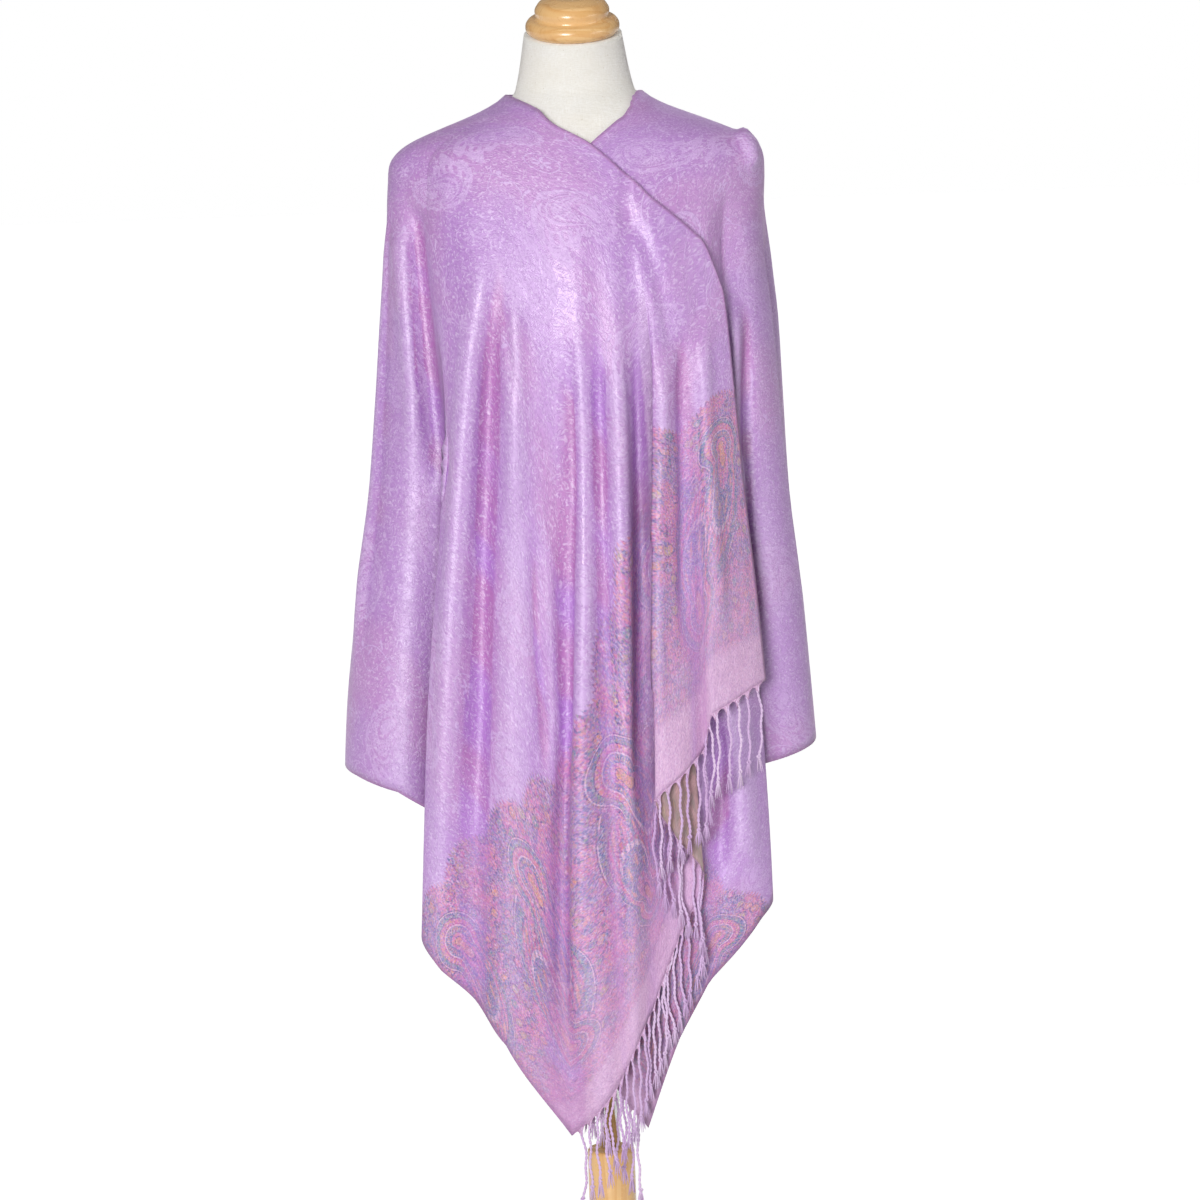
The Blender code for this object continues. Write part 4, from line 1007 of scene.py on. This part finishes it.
def makeSatin(length):
    bench = Bench("lilac_satin")
    flat, u, v = flatPlace(bench)
    fromEnd, border = borderMask(bench, u, v, length)
    # The fold map gives how deep each point lies in a fold, and the painted shadow beside overlapping
    # folds.
    relief, shade = bench.split(bench.map("fold"))[:2]
    figures = fieldFigures(bench, u, v)
    bright = squiggles(bench, flat, *weave["lightLines"])
    dim = squiggles(bench, bench.scaled(flat, (1, 1, 1), move=(3, 5, 0)), *weave["darkLines"])
    patchy = bench.noise(flat, 9.0, 2.0)
    streaky = bench.noise(bench.scaled(flat, (3, 14, 1)), 1.0, 2.0)
    rosy = bench.fade(patchy, 0.42, 0.62)
    ground = bench.mix(rosy * 0.45, satinLook["ground"], satinLook["rose"])
    # The figures show in random patches, and more deep in the folds, painted as they show in shade.
    shown = bench.fade(patchy, 0.35, 0.6, 0.4, 0.8) + bench.fade(relief, 0.6, 0.25, 0.0, 0.2)
    field = bench.mix(figures * shown, ground, satinLook["figure"])
    knobs = weave["knobs"]
    speckle = bench.random(bench.vector((u * knobs).floor(), (v * knobs).floor()))
    colored = borderFigures(bench, u, v, fromEnd)
    tones = borderColors
    speckled = bench.ramp(speckle, [(0.0, tones["blue"]), (0.20, tones["pink"]), (0.42, tones["lilac"]),
                                    (0.56, tones["core"]), (0.68, tones["tan"]), (0.80, tones["pale"]),
                                    (0.92, tones["deep"])], steps=True)
    colored = bench.mix(0.44, colored, speckled)
    plain = bench.fade(fromEnd, weave["plainEnd"] + 0.010, weave["plainEnd"] - 0.004)
    colored = bench.mix(bench.fade(fromEnd, 0.20, 0.03, 0.0, 0.50), colored, satinLook["endPink"])
    colored = bench.mix(plain, colored, bench.mix(speckle * 0.5, satinLook["endPink"], tones["pale"]))
    cloth = bench.mix(border, field, colored)
    # Painted shade: the cloth is darkened towards deep violet in the fold valleys, less in the border.
    deep = bench.mix(bench.fade(streaky, 0.45, 0.55), satinLook["paintedValleyShade"], satinLook["paintedRoseValleyShade"])
    cloth = bench.mix(bench.fade(relief, 0.46, 0.1, 0.0, 0.8) * (1.0 - border * 0.45), cloth, deep)
    # Painted highlight: the cloth is lightened on the fold ridges, less in the border.
    high = bench.fade(relief, 0.55, 0.92, 0.0, 0.4) * (1.0 - border * 0.7)
    cloth = bench.mix(high, cloth, satinLook["paintedRidgeHighlight"])
    glints = bench.noise(bench.scaled(flat, (420, 420, 1)), 1.0, 1.0)
    # Painted glints: in noisy patches the weave's own light lines are lightened towards near white, less on
    # the border and the figures.
    paintedGlints = bright * bench.fade(glints, 0.4, 0.65, 0.1, 0.4) * (1.0 - border * 0.35 - figures * 0.4)
    cloth = bench.mix(paintedGlints, cloth, satinLook["paintedGlint"])
    cloth = bench.mix(dim * bench.fade(glints, 0.62, 0.38, 0.08, 0.34), cloth, satinLook["grain"])
    # Painted shadow: the cloth is darkened close beside a fold that lies over it.
    cloth = bench.mix(shade * 0.95, cloth, satinLook["shade"])
    selvage = bench.split(bench.map("edge"))[0]
    edge = bench.fade(selvage, weave["selvage"], weave["selvage"] * 0.6, 0.0, 0.5)
    cloth = bench.mix(edge, cloth, satinLook["selvage"])
    threads = bench.wave(u + v, 0.0016) * bench.wave(u - v, 0.0034)
    height = figures * 0.6 + bright * 0.9 - dim * 0.6 + threads * 0.2
    soft = bench.noise(bench.scaled(flat, (1, 1.4, 1)), 34.0, 3.0, 0.55, 0.4)
    under = bench.bump(soft, 0.0040, 0.35)
    raised = bench.bump(height, 0.00024, 0.7, under)
    dulling = satinLook["matt"] - satinLook["roughness"]
    rough = satinLook["roughness"] + figures * dulling + bright * 0.06 + border * 0.06
    return bench.finish(Base_Color=cloth, Roughness=rough, Normal=raised, Specular_IOR_Level=1.0, IOR=1.55,
                        Sheen_Weight=0.15, Sheen_Roughness=0.45, Sheen_Tint=(0.86, 0.74, 1.0))


reverseLook = {"field": (0.46, 0.26, 0.56), "figure": (0.60, 0.40, 0.70), "olive": (0.46, 0.36, 0.26),
               "tan": (0.62, 0.42, 0.36), "rib": (0.30, 0.22, 0.22)}


def makeReverse(length):
    bench = Bench("satin_reverse")
    flat, u, v = flatPlace(bench)
    fromEnd, border = borderMask(bench, u, v, length)
    figures = fieldFigures(bench, u, v)
    bright = squiggles(bench, flat, *weave["lightLines"])
    field = bench.mix(0.5 - figures * 0.4 - bright * 0.2, reverseLook["field"], reverseLook["figure"])
    ribs = bench.wave(u + v * 0.8, 0.0042)
    tones = bench.noise(flat, 60.0, 2.0)
    colored = borderFigures(bench, u, v, fromEnd)
    muted = bench.mix(bench.fade(tones, 0.4, 0.6), reverseLook["olive"], reverseLook["tan"])
    muted = bench.mix(0.22, muted, colored)
    muted = bench.mix(bench.fade(ribs, 0.1, 0.9, 0.0, 0.35), muted, reverseLook["rib"])
    cloth = bench.mix(border, field, muted)
    threads = bench.wave(u - v, 0.0018)
    raised = bench.bump(ribs * 0.6 + threads * 0.3 + bright, 0.00035, 0.7)
    return bench.finish(Base_Color=cloth, Roughness=0.55 + bright * 0.1, Normal=raised,
                        Specular_IOR_Level=0.4, Sheen_Weight=0.2, Sheen_Roughness=0.5,
                        Sheen_Tint=(0.86, 0.74, 0.95))


# The strands' colours; the groove colour is painted shade in the twist's grooves.
yarnLook = {"dark": (0.64, 0.40, 0.72), "middle": (0.76, 0.54, 0.82), "light": (0.88, 0.70, 0.90),
            "fibre": (0.82, 0.60, 0.88), "paintedGrooveShade": (0.42, 0.20, 0.50)}
twillLook = {"ground": (0.58, 0.32, 0.55), "fibre": (0.76, 0.52, 0.72), "rib": (0.42, 0.18, 0.42)}


def makeYarn():
    bench = Bench("lilac_yarn")
    x, y, z = bench.split(bench.places)
    apart = bench.noise(bench.vector(x, y), 70.0, 1.0)
    fibres = bench.noise(bench.scaled(bench.places, (2600, 2600, 420)), 1.0, 3.0, 0.6)
    turns = bench.wave(z + (x + y) * 1.4, 0.0021)
    color = bench.ramp(apart, [(0.3, yarnLook["dark"]), (0.5, yarnLook["middle"]),
                               (0.7, yarnLook["light"])])
    color = bench.mix(bench.fade(fibres, 0.3, 0.7, 0.0, 0.45), color, yarnLook["fibre"])
    # Painted shade: the yarn is darkened along the twist's grooves.
    color = bench.mix(bench.fade(turns, 0.4, 0.95, 0.0, 0.28), color, yarnLook["paintedGrooveShade"])
    raised = bench.bump(turns * 0.5 + fibres, 0.0003, 0.8)
    return bench.finish(Base_Color=color, Roughness=0.42 + fibres * 0.25, Normal=raised, Sheen_Weight=0.3,
                        Sheen_Roughness=0.4, Sheen_Tint=(0.88, 0.74, 1.0))


def makeTwill():   # the plain pink weave between the strands' roots
    bench = Bench("pink_twill")
    x, y, z = bench.split(bench.places)
    ribs = bench.wave(x * 1.2 + z, 0.0021)
    fibres = bench.noise(bench.places, 900.0, 2.0)
    color = bench.mix(bench.fade(fibres, 0.35, 0.65), twillLook["ground"], twillLook["fibre"])
    color = bench.mix(bench.fade(ribs, 0.3, 0.9, 0.0, 0.4), color, twillLook["rib"])
    return bench.finish(Base_Color=color, Roughness=0.55, Normal=bench.bump(ribs + fibres, 0.0002, 0.6))


linenLook = {"between": (0.86, 0.83, 0.77), "thread": (0.96, 0.945, 0.91), "patch": (0.86, 0.80, 0.68),
             "fleck": (0.52, 0.42, 0.30)}


def makeLinen():
    bench = Bench("natural_linen")
    x, y, z = bench.split(bench.places)
    turn = bench.calc("ARCTAN2", x, y) * 0.12
    aroundForm = bench.vector(turn, z)
    warp = bench.noise(bench.scaled(aroundForm, (950, 110, 1)), 1.0, 3.0, 0.6)
    weft = bench.noise(bench.scaled(aroundForm, (110, 950, 1)), 1.0, 3.0, 0.6)
    threads = bench.wave(turn, 0.0013) + bench.wave(z, 0.0013)
    patches = bench.noise(bench.places, 22.0, 3.0)
    color = bench.mix(bench.fade(warp + weft, 0.75, 1.3), linenLook["between"], linenLook["thread"])
    color = bench.mix(bench.fade(patches, 0.35, 0.75, 0.0, 0.3), color, linenLook["patch"])
    specks, tone = bench.cells(bench.scaled(aroundForm, (120, 190, 1)), 1.0)
    flecks = bench.fade(specks, 0.16, 0.08) * bench.fade(tone, 0.8, 0.86)
    color = bench.mix(flecks * 0.5, color, linenLook["fleck"])
    raised = bench.bump(warp + weft + threads * 0.25, 0.0005, 0.7)
    return bench.finish(Base_Color=color, Roughness=0.82 + warp * 0.12, Normal=raised,
                        Specular_IOR_Level=0.3, Sheen_Weight=0.15)


woodLook = {"light": (0.80, 0.50, 0.215), "middle": (0.72, 0.40, 0.145), "dark": (0.56, 0.27, 0.085),
            "knot": (0.22, 0.085, 0.03)}


def makeWood(name, sizes, turn=(0, 0, 0)):
    # Long grain along the piece, with rings, pores and a few small knots under clear lacquer.
    bench = Bench(name)
    grainPlaces = bench.scaled(bench.places, sizes, turn)
    drift = bench.noise(grainPlaces, 1.3, 3.0, 0.5, 0.8)
    x, y, z = bench.split(grainPlaces)
    rings = (x * 1.4 + drift * 5.0).fract()
    late = bench.fade(rings, 0.35, 0.92) * bench.fade(rings, 1.0, 0.94)
    pores = bench.noise(bench.scaled(grainPlaces, (26, 26, 1.6)), 1.0, 3.0, 0.65)
    color = bench.mix(late, woodLook["light"], woodLook["middle"])
    color = bench.mix(bench.fade(pores, 0.52, 0.72, 0.0, 0.45), color, woodLook["dark"])
    clouds = bench.noise(bench.places, 16.0, 2.0)
    color = bench.mix(bench.fade(clouds, 0.4, 0.7, 0.0, 0.3), color, woodLook["dark"])
    spots = bench.cells(bench.scaled(bench.places, (17, 17, 11)), 1.0)[0]
    knot = bench.fade(spots, 0.075, 0.035)
    halo = bench.fade(spots, 0.20, 0.06, 0.0, 0.5)
    color = bench.mix(halo, color, woodLook["dark"])
    color = bench.mix(knot, color, woodLook["knot"])
    wear = bench.noise(bench.places, 90.0, 4.0, 0.6)
    raised = bench.bump(pores - knot * 1.5, 0.00012, 0.5)
    return bench.finish(Base_Color=color, Roughness=bench.fade(wear, 0.3, 0.8, 0.20, 0.38), Normal=raised,
                        Coat_Weight=0.4, Coat_Roughness=0.18)


def makeChrome():
    bench = Bench("polished_chrome")
    rub = bench.noise(bench.scaled(bench.places, (40, 40, 900)), 1.0, 3.0, 0.6)
    smudge = bench.noise(bench.places, 35.0, 4.0, 0.6)
    color = bench.mix(bench.fade(smudge, 0.45, 0.75, 0.0, 0.5), (0.80, 0.80, 0.80), (0.66, 0.64, 0.60))
    rough = bench.fade(smudge, 0.4, 0.8, 0.05, 0.16) + rub * 0.05
    raised = bench.bump(rub, 0.00004, 0.4)
    return bench.finish(Base_Color=color, Metallic=1.0, Roughness=rough, Normal=raised)


def makeFloor():
    bench = Bench("pale_floor")
    tone = bench.noise(bench.places, 3.0, 4.0)
    color = bench.mix(tone, (0.93, 0.93, 0.93), (0.95, 0.95, 0.95))
    return bench.finish(Base_Color=color, Roughness=0.85, Specular_IOR_Level=0.1,
                        Emission_Color=(1.0, 1.0, 1.0), Emission_Strength=0.50)


# Camera and light: a broad soft key from the left of the front, a weak fill from the right, pale
# surroundings. A lamp has the side it shines from, its strength and its softness.
studio = {"lens": 110.52, "cameraHeight": 1.37, "distance": 3.8, "pitch": 7.347, "roll": -1.96,
          "cameraX": 0.0081, "sensor": 36, "farthest": 200,
          "floorHalf": 60.0, "surround": 0.22, "backdrop": 1.0,
          "lamps": [("key", (-0.30, -1.0, 0.16), 2.70, 0.35), ("top", (0.15, -0.5, 1.0), 0.18, 0.8),
                    ("fill", (1.0, -0.55, 0.05), 0.75, 0.6),
                    ("back", (0.30, 1.0, 0.35), 1.8, 0.6)]}


def buildStudio():
    camera = bpy.data.objects.new("camera", bpy.data.cameras.new("camera"))
    bpy.context.scene.collection.objects.link(camera)
    camera.data.lens = studio["lens"]
    camera.data.sensor_width = studio["sensor"]
    camera.data.clip_end = studio["farthest"]
    camera.location = (studio["cameraX"], -studio["distance"], studio["cameraHeight"])
    look = Matrix.Rotation(math.radians(90 - studio["pitch"]), 4, "X")
    camera.matrix_world = (Matrix.Translation(camera.location) @ look
                           @ Matrix.Rotation(math.radians(studio["roll"]), 4, "Z"))
    bpy.context.scene.camera = camera
    builder = bmesh.new()
    bmesh.ops.create_grid(builder, x_segments=1, y_segments=1, size=studio["floorHalf"])
    floor = newPiece("floor", builder, [makeFloor()], smooth=False)
    floor.visible_diffuse = False   # its bounce would flatten the folds
    world = bpy.data.worlds.new("studio")
    world.use_nodes = True
    nodes, links = world.node_tree.nodes, world.node_tree.links
    sky = nodes["Background"]
    sky.inputs["Color"].default_value = (1.0, 1.0, 1.0, 1)
    seen = nodes.new("ShaderNodeLightPath")
    strength = nodes.new("ShaderNodeMapRange")
    strength.inputs["To Min"].default_value = studio["surround"]
    strength.inputs["To Max"].default_value = studio["backdrop"]
    links.new(seen.outputs["Is Camera Ray"], strength.inputs["Value"])
    links.new(strength.outputs[0], sky.inputs["Strength"])
    bpy.context.scene.world = world
    for name, towards, energy, softness in studio["lamps"]:
        lamp = bpy.data.objects.new(name, bpy.data.lights.new(name, "SUN"))
        lamp.data.energy, lamp.data.angle = energy, softness
        bpy.context.scene.collection.objects.link(lamp)
        lamp.location = Vector(towards) * 3
        lamp.visible_glossy = name != "back"   # no bright rims seen from the front
        lamp.rotation_euler = Vector(towards).to_track_quat("Z", "Y").to_euler()
    bpy.context.scene.view_settings.view_transform = "Standard"
    print("studio ready")


buildStudio()
fringeFinishes, linen, chrome = [makeYarn(), makeTwill()], makeLinen(), makeChrome()
standWood = makeWood("stand_wood", (22, 22, 3.2))
capWood = makeWood("cap_wood", (3.2, 22, 30), (0, 0, 0.2))
cloth, clothLength, drapedGrid = buildCloth()
for finish in (makeSatin(clothLength), makeReverse(clothLength)):
    cloth.data.materials.append(finish)
print("cloth made, cut length", round(clothLength, 3))
fringeOver = buildFringe("over_fringe", "fringe_over", drapedGrid, "overSelvage", "tip", fringeFinishes)
fringeUnder = buildFringe("under_fringe", "fringe_under", drapedGrid, "underSelvage", "underTip",
                          fringeFinishes)
body = buildForm(linen)
base, column, pole, cap = buildStand(standWood, capWood, chrome)

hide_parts("wrap_over_front", "wrap_over_side", "wrap_back", "wrap_under_side", "wrap_under_front")
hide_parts("fringe_over")
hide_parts("fringe_under")
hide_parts("form_torso")
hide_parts("stand_base")
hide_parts("stand_column")
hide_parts("stand_pole")
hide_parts("neck_cap")
for piece, slot in ((cloth, "satin"), (fringeOver, "fringe"), (fringeUnder, "fringe"), (body, "linen"),
                    (base, "wood"), (column, "wood"), (pole, "chrome"), (cap, "wood")):
    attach(piece, "root")
